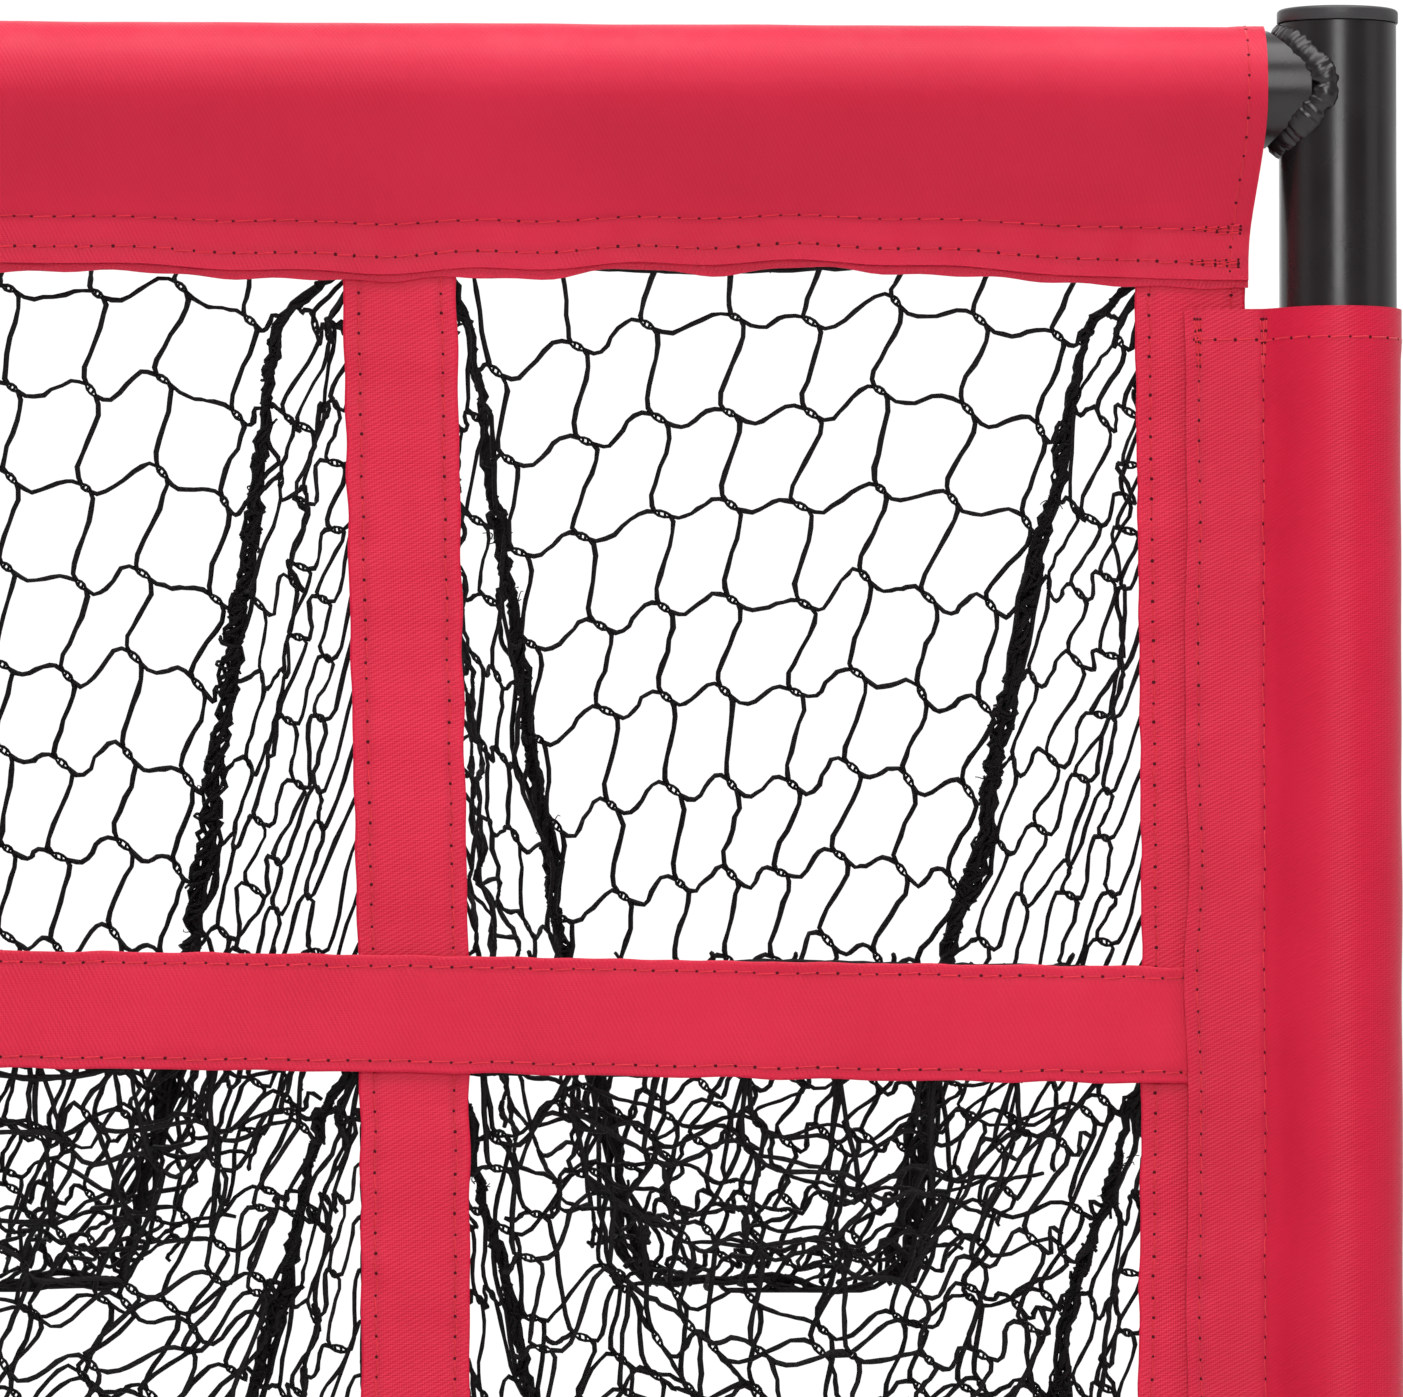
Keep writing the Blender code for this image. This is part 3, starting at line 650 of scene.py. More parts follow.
FINISHES = (
    HardFinish("tube_black", (0.0100, 0.0075, 0.0080), 0.27, grain_height=0.00002),
    HardFinish("plastic_black", (0.030, 0.028, 0.030), 0.42, grain_scale=1500.0,
               grain_height=0.00005, scuffs=0.1),
    HardFinish("rubber_black", (0.024, 0.024, 0.025), 0.72, specular=0.35,
               grain_scale=1300.0, grain_height=0.00008, dust=0.3, scuffs=0.1),
    HardFinish("zinc_steel", (0.60, 0.61, 0.60), 0.33, metallic=1.0, grain_scale=700.0,
               grain_height=0.00002, scuffs=0.15),
    HardFinish("spring_steel", (0.36, 0.37, 0.39), 0.30, metallic=1.0, grain_scale=1100.0,
               grain_height=0.00001, scuffs=0.1),
    ClothFinish("cloth_red", (0.63, 0.0085, 0.044), (0.67, 0.013, 0.056)),
    ClothFinish("webbing_red", (0.68, 0.0100, 0.047), (0.72, 0.015, 0.060), threads=2000.0,
                weave_height=0.00008),
    ThreadFinish("net_black", (0.0030, 0.0024, 0.0030), (0.011, 0.009, 0.010), 700.0,
                 0.00012, roughness=0.75, sheen=0.0),
    ThreadFinish("thread_red", (0.56, 0.008, 0.028), (0.80, 0.020, 0.050), 2600.0, 0.00004,
                 roughness=0.5),
    # Near-black red for the needle holes: painted shade where the thread dives into the cloth.
    ThreadFinish("needle_hole_shade", (0.045, 0.002, 0.005), (0.09, 0.003, 0.008), 400.0, 0.00002,
                 roughness=0.9, sheen=0.0),
)


# ---------------------------------------------------------------------------
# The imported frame
# ---------------------------------------------------------------------------
@dataclass
class Place:
    """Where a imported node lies: its box, centre and sizes."""

    node: str
    low: Array = field(init=False)
    high: Array = field(init=False)

    def __post_init__(self) -> None:
        """Read the node's box."""
        self.low, self.high = (np.array(c, float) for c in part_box(self.node))

    @property
    def centre(self) -> Array:
        """Middle of the box."""
        return (self.low + self.high) / 2

    @property
    def size(self) -> Array:
        """Lengths of the box's sides."""
        return self.high - self.low


class Slot(Enum):
    """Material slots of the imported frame."""

    TUBE = "tube_black"
    PLASTIC = "plastic_black"
    RUBBER = "rubber_black"
    ZINC = "zinc_steel"
    SPRING = "spring_steel"
    CLOTH = "cloth_red"
    WEBBING = "webbing_red"
    NET = "net_black"


@dataclass
class Workshop:
    """Materials by finish, and the one way in which a finished piece joins the model."""

    materials: dict[str, bpy.types.Material]
    made: int = 0

    def deliver(self, draft: Draft, name: str, slots: tuple[str, ...], body: str = "root",
                instead_of: tuple[str, ...] = (), sharp: float = 50.0) -> bpy.types.Object:
        """Build a draft and tie it to the frame.

        Args:
            draft: The gathered surfaces.
            name: Piece name.
            slots: Finish names in the order of the draft's material indices.
            body: Body that it rides.
            instead_of: Nodes that it replaces.
            sharp: Angle in degrees at which edges stay sharp.

        Returns:
            The piece.
        """
        piece = draft.build(name, [self.materials[s] for s in slots], sharp)
        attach(piece, body)
        if instead_of:
            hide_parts(*instead_of)
        self.made += 1
        LOG.info("made %s: %d triangles", name, len(piece.data.loops) - 2 * len(
            piece.data.polygons))
        return piece


# ---------------------------------------------------------------------------
# Cloth
# ---------------------------------------------------------------------------
X, Y, Z = np.eye(3)
FRONT = -Y
STITCH = 0.0043


@dataclass
class Ply:
    """A cloth surface over a grid of flat places u (rows) and v (columns)."""

    points: Array
    u: Array
    v: Array
    thickness: Array

    @property
    def normals(self) -> Array:
        """Unit normals on the face side."""
        return unit(np.cross(np.gradient(self.points, axis=0), np.gradient(self.points, axis=1)))

    def lift(self, heights: Array) -> None:
        """Move every point along its normal."""
        self.points = self.points + heights[..., None] * self.normals

    def at(self, u: Array, v: Array, over: float | Array = 0.0, face: int = 1) -> Array:
        """Points on the face or back, read between the grid's points.

        Args:
            u: Flat places along the rows.
            v: Flat places along the columns.
            over: Height above the surface.
            face: 1 for the face side, -1 for the back.

        Returns:
            One point for each place.
        """
        i = np.clip(np.interp(u, self.u, np.arange(len(self.u))), 0, len(self.u) - 1.001)
        j = np.clip(np.interp(v, self.v, np.arange(len(self.v))), 0, len(self.v) - 1.001)
        i0, j0 = i.astype(int), j.astype(int)
        a, b = (i - i0)[..., None], (j - j0)[..., None]

        def read(grid: Array) -> Array:
            """Blend the four grid values round each place."""
            return ((1 - a) * (1 - b) * grid[i0, j0] + a * (1 - b) * grid[i0 + 1, j0]
                    + (1 - a) * b * grid[i0, j0 + 1] + a * b * grid[i0 + 1, j0 + 1])

        lift = read(self.thickness[..., None]) / 2 + np.asarray(over)[..., None]
        return read(self.points) + face * lift * unit(read(self.normals))

    def skin(self, draft: Draft, seam: Array) -> None:
        """Add the closed shell to a draft, with its flat places as UV."""
        uv = np.stack(np.meshgrid(self.u, self.v, indexing="ij"), -1)
        draft.shell(self.points, uv, self.thickness, seam)


@dataclass
class Needle:
    """Sews rows of lock stitch on a ply: bent thread lengths, and dark discs of painted shade at
    the holes between them.
    """

    ply: Ply
    threads: Draft = field(default_factory=Draft)
    seed: int = 3
    thread_radius: float = 0.00016
    tack_pitch: float = 0.0021

    def row(self, start: tuple[float, float], end: tuple[float, float], face: int = 1,
            pitch: float = STITCH) -> None:
        """Sew a straight row between two flat places.

        Each thread rises from one hole and dips into the next: height is a sine's root over
        its length, so that its ends are sunk.

        Args:
            start: First flat place (u, v).
            end: Last flat place (u, v).
            face: Side of the cloth.
            pitch: Distance from hole to hole.
        """
        self.seed += 1
        rng = np.random.default_rng(self.seed)
        a, b = np.array(start), np.array(end)
        length = float(np.linalg.norm(b - a))
        count = max(1, int(length / pitch))
        holes = np.linspace(0, 1, count + 1)
        holes[1:-1] += rng.normal(0, 0.05 * pitch / length, count - 1)
        side = np.array([-(b - a)[1], (b - a)[0]]) / length
        t = np.linspace(0.09, 0.91, 5)
        share = holes[:-1, None] + (holes[1:] - holes[:-1])[:, None] * t
        sway = rng.normal(0, 0.00012, (count, 1)) + 0.00010 * (t - 0.5) / 0.4
        flat = a + share[..., None] * (b - a) + sway[..., None] * side
        rise = self.thread_radius * (1.5 * np.sqrt(np.sin(math.pi * (t - 0.06) / 0.88)) - 0.9)
        paths = self.ply.at(flat[..., 0], flat[..., 1], rise + 0 * share, face)
        across = unit(paths[:, -1] - paths[:, 0])
        normal = unit(self.ply.at(flat[:, 2, 0], flat[:, 2, 1], 0.001, face)
                      - self.ply.at(flat[:, 2, 0], flat[:, 2, 1], 0.0, face))
        self.threads.tubes(paths, np.cross(across, normal), self.thread_radius, 4,
                           tint=rng.uniform(0, 1, count))
        # Needle holes: small dark discs on the cloth, painted shade where the thread dives in.
        spots = a + holes[:, None] * (b - a)
        deep = np.stack([self.ply.at(spots[:, 0], spots[:, 1], np.full(len(spots), h), face)
                         for h in (-0.0002, 0.00001, 0.00003)], 1)
        radius = np.array([0.00036, 0.00040, 0.00020]) * rng.uniform(0.8, 1.15, (len(spots), 1))
        self.threads.tubes(deep, unit(paths[0, -1] - paths[0, 0]), radius, 5,
                           slot=1)

    def backtack(self, start: tuple[float, float], end: tuple[float, float],
                 face: int = 1) -> None:
        """Sew three short rows over each other, as at the end of a seam."""
        a, b = np.array(start), np.array(end)
        side = np.array([-(b - a)[1], (b - a)[0]]) / np.linalg.norm(b - a)
        for shift in (-0.0006, 0.0002, 0.0008):
            self.row(tuple(a + shift * side), tuple(b + 0.4 * shift * side), face,
                     self.tack_pitch)


@dataclass
class Pucker:
    """How sewing and tension draw up a ply near its seams, and the painted shade along them."""

    seed: int
    seams: list[tuple[float, float]] = field(default_factory=list)

    def relief(self, u: Array, v: Array) -> Array:
        """Height of the puckers: a groove at each seam and short waves fading from it.

        Args:
            u: Flat places along the seam.
            v: Flat places across it.

        Returns:
            Heights along the normal.
        """
        total = np.zeros(np.broadcast(u, v).shape)
        for k, (seam, strength) in enumerate(self.seams):
            gap = np.abs(v - seam)
            waves = ripple(u + 0.15 * (v - seam), 0.0095, self.seed + 17 * k, 6)
            bite = 0.5 + 0.5 * np.cos(2 * math.pi * u / STITCH)
            total += strength * (0.00024 * waves * np.exp(-(gap / 0.0035) ** 2)
                                 - (0.00016 + 0.00007 * bite) * np.exp(-(gap / 0.0007) ** 2))
        return total

    def shade(self, u: Array, v: Array) -> Array:
        """Share of painted shade close to each seam."""
        total = np.zeros(np.broadcast(u, v).shape)
        for seam, strength in self.seams:
            total += min(strength, 1.0) * np.exp(-(np.abs(v - seam) / 0.0009) ** 2)
        return np.clip(total, 0, 1)


@dataclass
class Sleeve:
    """Cloth sewn round a tube, both layers joined in a tail that carries the grid.

    The section runs from the front tail's fold to the tube, round it, and down the back.
    play is the room between tube and cloth, tail_gap half the distance between the two tails,
    and row_end how far a row of stitches stops before the sleeve's end.
    """

    node: str
    tube: Place
    tail_way: Array
    half_length: float
    middle: Array
    front_tail: float
    back_tail: float
    seams: tuple[float, ...]
    tail_plane: float
    seed: int
    end_hem: float = 0.0040
    sag: tuple[float, ...] = ()
    sag_at: tuple[float, ...] = ()
    taper: float = 0.0
    thin: float = 0.00050
    thick: float = 0.00088
    play: float = 0.0005
    tail_gap: float = 0.00052
    row_end: float = 0.0022

    def section(self) -> tuple[Array, Array]:
        """Work out the section.

        Straight down the tail, then a slant to the tangent point of the circle round the
        tube, then round it, and the same at the back.

        Returns:
            Points of (distance from the tube's axis along the tail, distance to the front),
            and the length along it.
        """
        radius = float(min(self.tube.size)) / 2 + self.play + self.thin / 2
        first = min(self.seams)

        def half(side: int, tail: float) -> Array:
            """Points from the tail's end to the far side of the tube, for front or back."""
            plane = self.tail_plane + side * self.tail_gap
            reach = math.hypot(first, plane)
            base = math.atan2(side * plane, first)
            touch = base + math.acos(radius / reach)
            turn = np.linspace(touch, math.pi, 40)
            arc = np.stack([radius * np.cos(turn), side * radius * np.sin(turn)], 1)
            tail_part = np.array([[tail, plane], [(tail + first) / 2, plane], [first, plane]])
            return np.concatenate([tail_part, arc])

        front, back = half(1, self.front_tail), half(-1, self.back_tail)
        path = resample(np.concatenate([front, back[::-1][1:]]), 0.0014)
        path = soften(path, 6)
        return path, distances(path)

    def make(self, shop: Workshop, finish: str) -> bpy.types.Object:
        """Args:
            shop: Where pieces are delivered.
            finish: Finish name of the cloth.

        Returns:
            The sleeve piece.
        """
        path, v = self.section()
        along = unit(np.cross(FRONT, self.tail_way))
        count = int(2 * self.half_length / 0.0026)
        u = np.linspace(-self.half_length, self.half_length, count)
        uu, vv = np.meshgrid(u, v, indexing="ij")
        p = np.broadcast_to(path[:, 0], uu.shape)
        q = np.broadcast_to(path[:, 1], uu.shape)
        in_tail = ease(p, 0.012, min(self.front_tail, self.back_tail))
        drop = np.interp(u, self.sag_at, self.sag)[:, None] if self.sag else np.zeros((count, 1))
        if self.sag:
            drop = soften(drop, 60)
        wander = 0.0005 * ripple(u, 0.05, self.seed)[:, None]
        back = q < self.tail_plane
        ragged = 0.0007 * ripple(u, 0.03, self.seed + 5)[:, None] * back
        p = p + in_tail * (drop + wander + ragged)
        squeeze = 1 - self.taper * ease(p, 0.004, self.front_tail)
        points = (self.middle + (uu * squeeze)[..., None] * along
                  + p[..., None] * self.tail_way + q[..., None] * FRONT)
        doubled = ease(p, min(self.seams) - 0.0018, min(self.seams) - 0.0008)
        fold = self.half_length - self.end_hem - self.row_end
        ends = ease(np.abs(uu), fold - 0.0012, fold)
        doubled = np.maximum(doubled, ends)
        ply = Ply(points, u, v, self.thin + (self.thick - self.thin) * doubled)
        lines = [(self.place(v, s, 1), 1.0) for s in self.seams]
        lines += [(self.place(v, s, -1), 0.8) for s in self.seams]
        pucker = Pucker(self.seed, lines)
        free = ease(p, 0.002, 0.016) * (1 - 0.75 * ease(p, min(self.seams) - 0.004,
                                                         min(self.seams)))
        waves = free * (0.00055 * swell(uu, vv, 0.075, self.seed + 1)
                        + 0.00020 * swell(uu, vv * 0.3, 0.022, self.seed + 2))
        waves = waves + (1 - free) * 0.00008 * swell(uu, vv, 0.03, self.seed + 3)
        near_end = np.exp(-((self.half_length - np.abs(uu) - self.end_hem) / 0.0006) ** 2)
        ply.lift(waves + pucker.relief(uu, vv) - 0.00015 * near_end)
        draft = Draft()
        # The seam value paints shade along the stitch lines and by each end-hem fold.
        ply.skin(draft, np.maximum(pucker.shade(uu, vv), 0.7 * near_end))
        piece = shop.deliver(draft, self.node + "_cloth", (finish,), instead_of=(self.node,))
        sewing = self.sew(ply, v)
        stitches = shop.deliver(sewing.threads, self.node + "_stitches",
                                ("thread_red", "needle_hole_shade"))
        return piece

    def place(self, v: Array, distance: float, side: int) -> float:
        """Flat place of a line in the tail at a distance from the tube's axis."""
        return self.front_tail - distance if side > 0 else float(v[-1]) - (self.back_tail
                                                                          - distance)

    def sew(self, ply: Ply, v: Array) -> Needle:
        """Sew the tail's rows on both faces, the end hems and the backtacks."""
        needle = Needle(ply, seed=self.seed * 31)
        reach = self.half_length - self.row_end
        for side in (1, -1):
            for distance in self.seams:
                at = self.place(v, distance, side)
                needle.row((-reach, at), (reach, at))
                for end in (-1, 1):
                    needle.backtack((end * reach, at), (end * (reach - 0.010), at))
        hem = self.half_length - self.end_hem
        for end in (-1, 1):
            needle.row((end * hem, 0.0018), (end * hem, float(v[-1]) - 0.0018))
        return needle


@dataclass
class Band:
    """Folded strip of cloth between openings: two plies sewn along both edges.

    A point of the strip is its middle line plus its width direction, with a slow bow and
    small edge waves, and the thickness falls to nothing as a quarter ellipse at both edges.
    """

    node: str
    seed: int
    bow: tuple[float, ...] = (0.0,)
    pinch: tuple[float, ...] = (1.0,)
    stitch_inset: float = 0.0024
    thick: float = 0.00092

    def make(self, shop: Workshop, finish: str) -> bpy.types.Object:
        """Args:
            shop: Where pieces are delivered.
            finish: Finish name of the cloth.

        Returns:
            The band piece.
        """
        place = Place(self.node)
        level = place.size[0] > place.size[2]
        along, width_way = (X, Z) if level else (-Z, X)
        length = place.size[0] if level else place.size[2]
        width = place.size[2] if level else place.size[0]
        u = np.linspace(-length / 2, length / 2, int(length / 0.0021))
        edge = width / 2 - 0.00010
        inner = np.linspace(-edge + 0.0008, edge - 0.0008, int(width / 0.0014))
        rim = np.array([0.0, 0.00006, 0.0002, 0.00045])
        v = np.concatenate([-edge + rim, inner, (edge - rim)[::-1]])
        uu, vv = np.meshgrid(u, v, indexing="ij")
        knots = np.linspace(-length / 2, length / 2, len(self.bow))
        shift = soften(np.interp(u, knots, self.bow)[:, None], 200)
        narrow = np.interp(u, np.linspace(-length / 2, length / 2, len(self.pinch)),
                           self.pinch)[:, None]
        share = vv / edge
        edges = 0.00022 * (ripple(u, 0.013, self.seed)[:, None] * np.clip(share, 0, 1)
                           + ripple(u, 0.013, self.seed + 9)[:, None] * np.clip(-share, 0, 1))
        side = vv * narrow + shift + edges
        points = (place.centre + uu[..., None] * along + side[..., None] * width_way)
        rounding = np.sqrt(np.clip(1 - (np.clip((np.abs(vv) - edge + 0.0006) / 0.0006, 0, 1))
                                   ** 2, 0.03, 1))
        ply = Ply(points, u, v, self.thick * rounding)
        lines = [(s * (edge - self.stitch_inset), 1.0) for s in (-1, 1)]
        pucker = Pucker(self.seed, lines)
        body = 1 - 0.8 * ease(np.abs(vv), edge - 0.004, edge)
        waves = body * (0.00022 * swell(uu, vv, 0.045, self.seed + 1)
                        + 0.00010 * swell(uu, 0.4 * vv, 0.012, self.seed + 2))
        crease = -0.00008 * np.exp(-((vv - 0.001 * ripple(u, 0.1, self.seed + 4)[:, None])
                                     / 0.0006) ** 2)
        ply.lift(waves + 0.7 * pucker.relief(uu, vv) + crease)
        draft = Draft()
        # The seam value paints shade along the stitch lines.
        ply.skin(draft, pucker.shade(uu, vv))
        piece = shop.deliver(draft, self.node + "_cloth", (finish,), instead_of=(self.node,))
        needle = Needle(ply, seed=self.seed * 37)
        for line, _ in lines:
            for face in (1, -1):
                needle.row((u[0] + 0.001, line), (u[-1] - 0.001, line), face)
        stitches = shop.deliver(needle.threads, self.node + "_stitches",
                                ("thread_red", "needle_hole_shade"))
        return piece


# ---------------------------------------------------------------------------
# Steel frame
# ---------------------------------------------------------------------------
def axes_along(way: Array) -> Array:
    """Local x, y and z rows with z along a direction and y level or to the back."""
    z = unit(way)
    x = unit(np.cross(Y, z)) if abs(z[1]) < 0.9 else X
    return np.stack([x, np.cross(z, x), z])


def rounded(radius: float, height: float, across: float, up: float,
            angles: Array) -> list[tuple[float, float]]:
    """Profile points of an elliptic corner about (radius, height)."""
    return [(radius + across * math.cos(a), height + up * math.sin(a)) for a in angles]


QUARTER = np.linspace(0, math.pi / 2, 7)


@dataclass
class Pipe:
    """Round steel tube with a wall, cut square or with its start cupped on to another tube."""

    node: str
    way: Array
    wall: float = 0.0012
    sides: int = 96
    cup_start: float = 0.0
    chamfer: float = 0.00018

    def draft(self) -> Draft:
        """Draft the tube: its outer wall, end faces and inner wall as one closed skin.

        A cupped start stops short of the crossing tube's axis by the root of that tube's radius
        squared less the square of the side offset, so that it sits on the other tube's wall.
        """
        place = Place(self.node)
        axes = axes_along(self.way)
        length = float(np.abs(place.size @ axes[2]))
        radius = float(np.abs(place.size @ axes[0])) / 2
        origin = place.centre - axes[2] * length / 2
        turn = np.arange(self.sides) * (2 * math.pi / self.sides)
        stations = max(2, int(length / 0.02))
        inner = radius - self.wall
        rings = [radius - self.chamfer] + [radius] * stations + [radius - self.chamfer] + [
            inner] * stations
        shares = np.concatenate([[0], np.linspace(0, 1, stations), [1],
                                 np.linspace(1, 0, stations)])
        nudge = np.concatenate([[0], [self.chamfer], np.zeros(stations - 2), [-self.chamfer],
                                [0], np.zeros(stations)])
        r = np.array(rings)[:, None]
        side, crossing = np.abs(r * np.sin(turn)), self.cup_start
        start = np.zeros_like(side)
        if crossing > 0:
            start = np.sqrt(np.clip(crossing ** 2 - side ** 2, 0.09 * crossing ** 2, None))
        along = start + shares[:, None] * (length - start) + nudge[:, None]
        points = (origin + (r * np.cos(turn))[..., None] * axes[0]
                  + (r * np.sin(turn))[..., None] * axes[1] + along[..., None] * axes[2])
        across = np.arange(self.sides + 1) / self.sides * 2 * math.pi * radius
        down = np.append(np.cumsum(np.abs(np.diff(shares, prepend=0))) * length, 2 * length)
        made = Draft()
        made.grid(points, np.stack(np.meshgrid(across, down), -1), wrap=(True, True), flip=True)
        return made


@dataclass
class Bead:
    """Fillet weld round a T joint of two equal tubes, heaviest underneath.

    Its middle line is where the two walls meet: at an angle t round the branch, the side is
    R sin t and the reach from the through tube's axis is the root of R^2 less its square.
    The bead's section is a flattened circle whose size swells with each laid pool.
    """

    branch: Array
    through: Array
    centre: Array
    radius: float
    seed: int
    size: float = 0.0017

    def draft(self) -> Draft:
        """Draft the lumpy bead as one closed ring."""
        count, sides = 288, 14
        t = np.arange(count) * (2 * math.pi / count)
        up = unit(self.through)
        out = unit(self.branch)
        side = np.cross(up, out)
        r = self.radius
        reach = np.sqrt(r * r - (0.965 * r * np.sin(t)) ** 2)
        round_branch = (r * np.cos(t))[:, None] * up + (r * np.sin(t))[:, None] * side
        middle = self.centre + reach[:, None] * out + round_branch
        middle = (np.roll(middle, 1, 0) + 2 * middle + np.roll(middle, -1, 0)) / 4
        along = unit(np.roll(middle, -1, 0) - np.roll(middle, 1, 0))
        from_branch = unit(round_branch)
        axis_gap = middle - self.centre
        from_through = unit(axis_gap - (axis_gap @ up)[:, None] * up)
        outward = unit(from_branch + from_through)
        b = unit(np.cross(along, outward))
        c = np.cross(b, along)
        rng = np.random.default_rng(self.seed)
        pools = 52
        phase = t * pools / (2 * math.pi) + 0.25 * ripple(t, 1.3, self.seed)
        scallop = phase % 1.0
        lump = 0.90 + 0.17 * np.sqrt(np.clip(1 - (2 * scallop - 1) ** 2, 0, 1))
        lump *= 1 + 0.28 * np.clip(-np.cos(t), 0, 1) ** 2
        lump *= 1 + 0.13 * np.interp(phase, np.arange(-2, pools + 4),
                                     rng.normal(0, 1, pools + 6))
        turn = np.arange(sides) * (2 * math.pi / sides)
        rough = 1 + 0.13 * rng.normal(0, 1, (count, sides))
        rough = (np.roll(rough, 1, 0) + rough + np.roll(rough, -1, 0)) / 3
        size = self.size * lump[:, None] * rough
        points = (middle[:, None] + (size * np.cos(turn))[..., None] * b[:, None] * 1.5
                  + (size * 0.72 * np.sin(turn))[..., None] * -c[:, None])
        around = np.linspace(0, 2 * math.pi * r, count + 1)
        uv = np.stack(np.meshgrid(np.linspace(0, self.size * 6, sides + 1), around), -1)
        made = Draft()
        made.grid(points, uv, wrap=(True, True))
        return made


@dataclass
class SteelFrame:
    """Tubes, welds, caps, feet, knobs and snap buttons of the folding frame."""

    shop: Workshop

    def make(self) -> None:
        """Build every hard piece on both sides."""
        for side, sign in SIDES:
            self.uprights(side, sign)
            self.rails(side, sign)
            self.cap(side)
            self.foot(side)
            self.knob(side, sign)
            self.button(side, sign)
        for side, _ in SIDES:
            self.keep(f"post_joiner_{side}", "zinc_steel")
            self.keep(f"snap_spring_{side}", "spring_steel")
        for node in ("top_rail_joiner", "bottom_rail_joiner"):
            self.keep(node, "zinc_steel")

    def keep(self, node: str, finish: str) -> None:
        """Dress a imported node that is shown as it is."""
        frame_object = FRAME["nodes"][node]
        frame_object.data.materials.clear()
        frame_object.data.materials.append(self.shop.materials[finish])
        LOG.info("dressed %s", node)

    def drilled(self, piece: bpy.types.Object, middle: Array, way: Array,
                radius: float) -> None:
        """Cut a round hole from the tube's axis out through one wall."""
        bar = Draft()
        profile = np.array([(0, 0), (radius, 0), (radius, 0.02), (0, 0.02)], float)
        bar.turned(profile, 40, middle, axes_along(way))
        cutter = bar.build("drill", [], 30.0)
        cut = piece.modifiers.new("hole", "BOOLEAN")
        cut.operation, cut.solver, cut.object = "DIFFERENCE", "EXACT", cutter
        mesh = bpy.data.meshes.new_from_object(piece.evaluated_get(
            bpy.context.evaluated_depsgraph_get()))
        piece.modifiers.clear()
        piece.data = mesh
        bpy.data.objects.remove(cutter)

    def uprights(self, side: str, sign: int) -> None:
        """Build the post and the leg below it."""
        for part in ("post", "leg"):
            piece = self.shop.deliver(Pipe(f"{part}_{side}", Z).draft(), f"{part}_{side}_tube",
                                      ("tube_black",),
                                      instead_of=(f"{part}_{side}",), sharp=35)
            tube = Place(f"{part}_{side}").centre
            spot = Place(f"snap_button_{side}" if part == "post" else f"clamp_nut_{side}")
            middle = np.array([tube[0], tube[1], spot.centre[2]])
            self.drilled(piece, middle, sign * X, 0.0034 if part == "post" else 0.0040)

    def rails(self, side: str, sign: int) -> None:
        """Build the top and bottom rail halves and their welds."""
        for level in ("top", "bottom"):
            node = f"{level}_rail_{side}"
            rail, post = Place(node), Place(f"post_{side}" if level == "top" else f"leg_{side}")
            radius = post.size[0] / 2
            self.shop.deliver(Pipe(node, -sign * X, cup_start=radius).draft(), f"{node}_tube",
                              ("tube_black",), instead_of=(node,), sharp=35)
            centre = np.array([post.centre[0], rail.centre[1], rail.centre[2]])
            bead = Bead(-sign * X, Z, centre, radius, 71 + sign)
            self.shop.deliver(bead.draft(), f"{level}_weld_{side}_bead", ("tube_black",),
                              instead_of=(f"{level}_weld_{side}",), sharp=80)

    def cap(self, side: str) -> None:
        """Build the plug: ribbed stem inside the post, a rounded brim and a low dome."""
        cap, post = Place(f"post_cap_{side}"), Place(f"post_{side}")
        inset, edge, rise, rib, count = 0.0013, 0.0008, 0.0006, 0.0006, 6
        brim, stem = cap.size[0] / 2, post.size[0] / 2 - inset
        top, seat, foot = cap.high[2], post.high[2], cap.low[2]
        outer = [(brim - 0.00012, seat + 0.0001), (brim, seat + 0.0003)]
        outer += rounded(brim - edge, top - rise - edge, edge, edge, QUARTER)
        dome = [((brim - edge) * s, top - rise * s ** 2) for s in np.linspace(1, 0, 12)[1:]]
        ribs = []
        for k in range(count):
            low = foot + 0.0015 + k * (seat - foot - 0.003) / count
            ribs += [(stem - rib, low), (stem, low + rib), (stem - rib, low + 0.0014)]
        profile = np.array([(0, foot), (stem - 0.0014, foot), (stem - rib, foot + 0.0008)]
                           + ribs + [(stem - rib, seat - 0.0002), (stem, seat + 0.0001)]
                           + outer + dome, float)
        draft = Draft()
        draft.turned(profile, 96, np.array([cap.centre[0], cap.centre[1], 0.0]), np.eye(3))
        self.shop.deliver(draft, f"post_cap_{side}_plug", ("plastic_black",),
                          instead_of=(f"post_cap_{side}",), sharp=38)

    def foot(self, side: str) -> None:
        """Build the cross foot: tube, stub, weld and the two rubber end caps."""
        body = f"foot_{side}"
        tube = Place(f"foot_tube_{side}")
        for node, way in ((f"foot_tube_{side}", Y), (f"foot_stub_{side}", Z)):
            self.shop.deliver(Pipe(node, way).draft(), f"{node}_steel", ("tube_black",), body,
                              (node,), 35)
        self.keep(f"foot_weld_{side}", "tube_black")
        for end, way in (("front", -Y), ("back", Y)):
            self.foot_cap(f"foot_cap_{end}_{side}", way, tube, body)

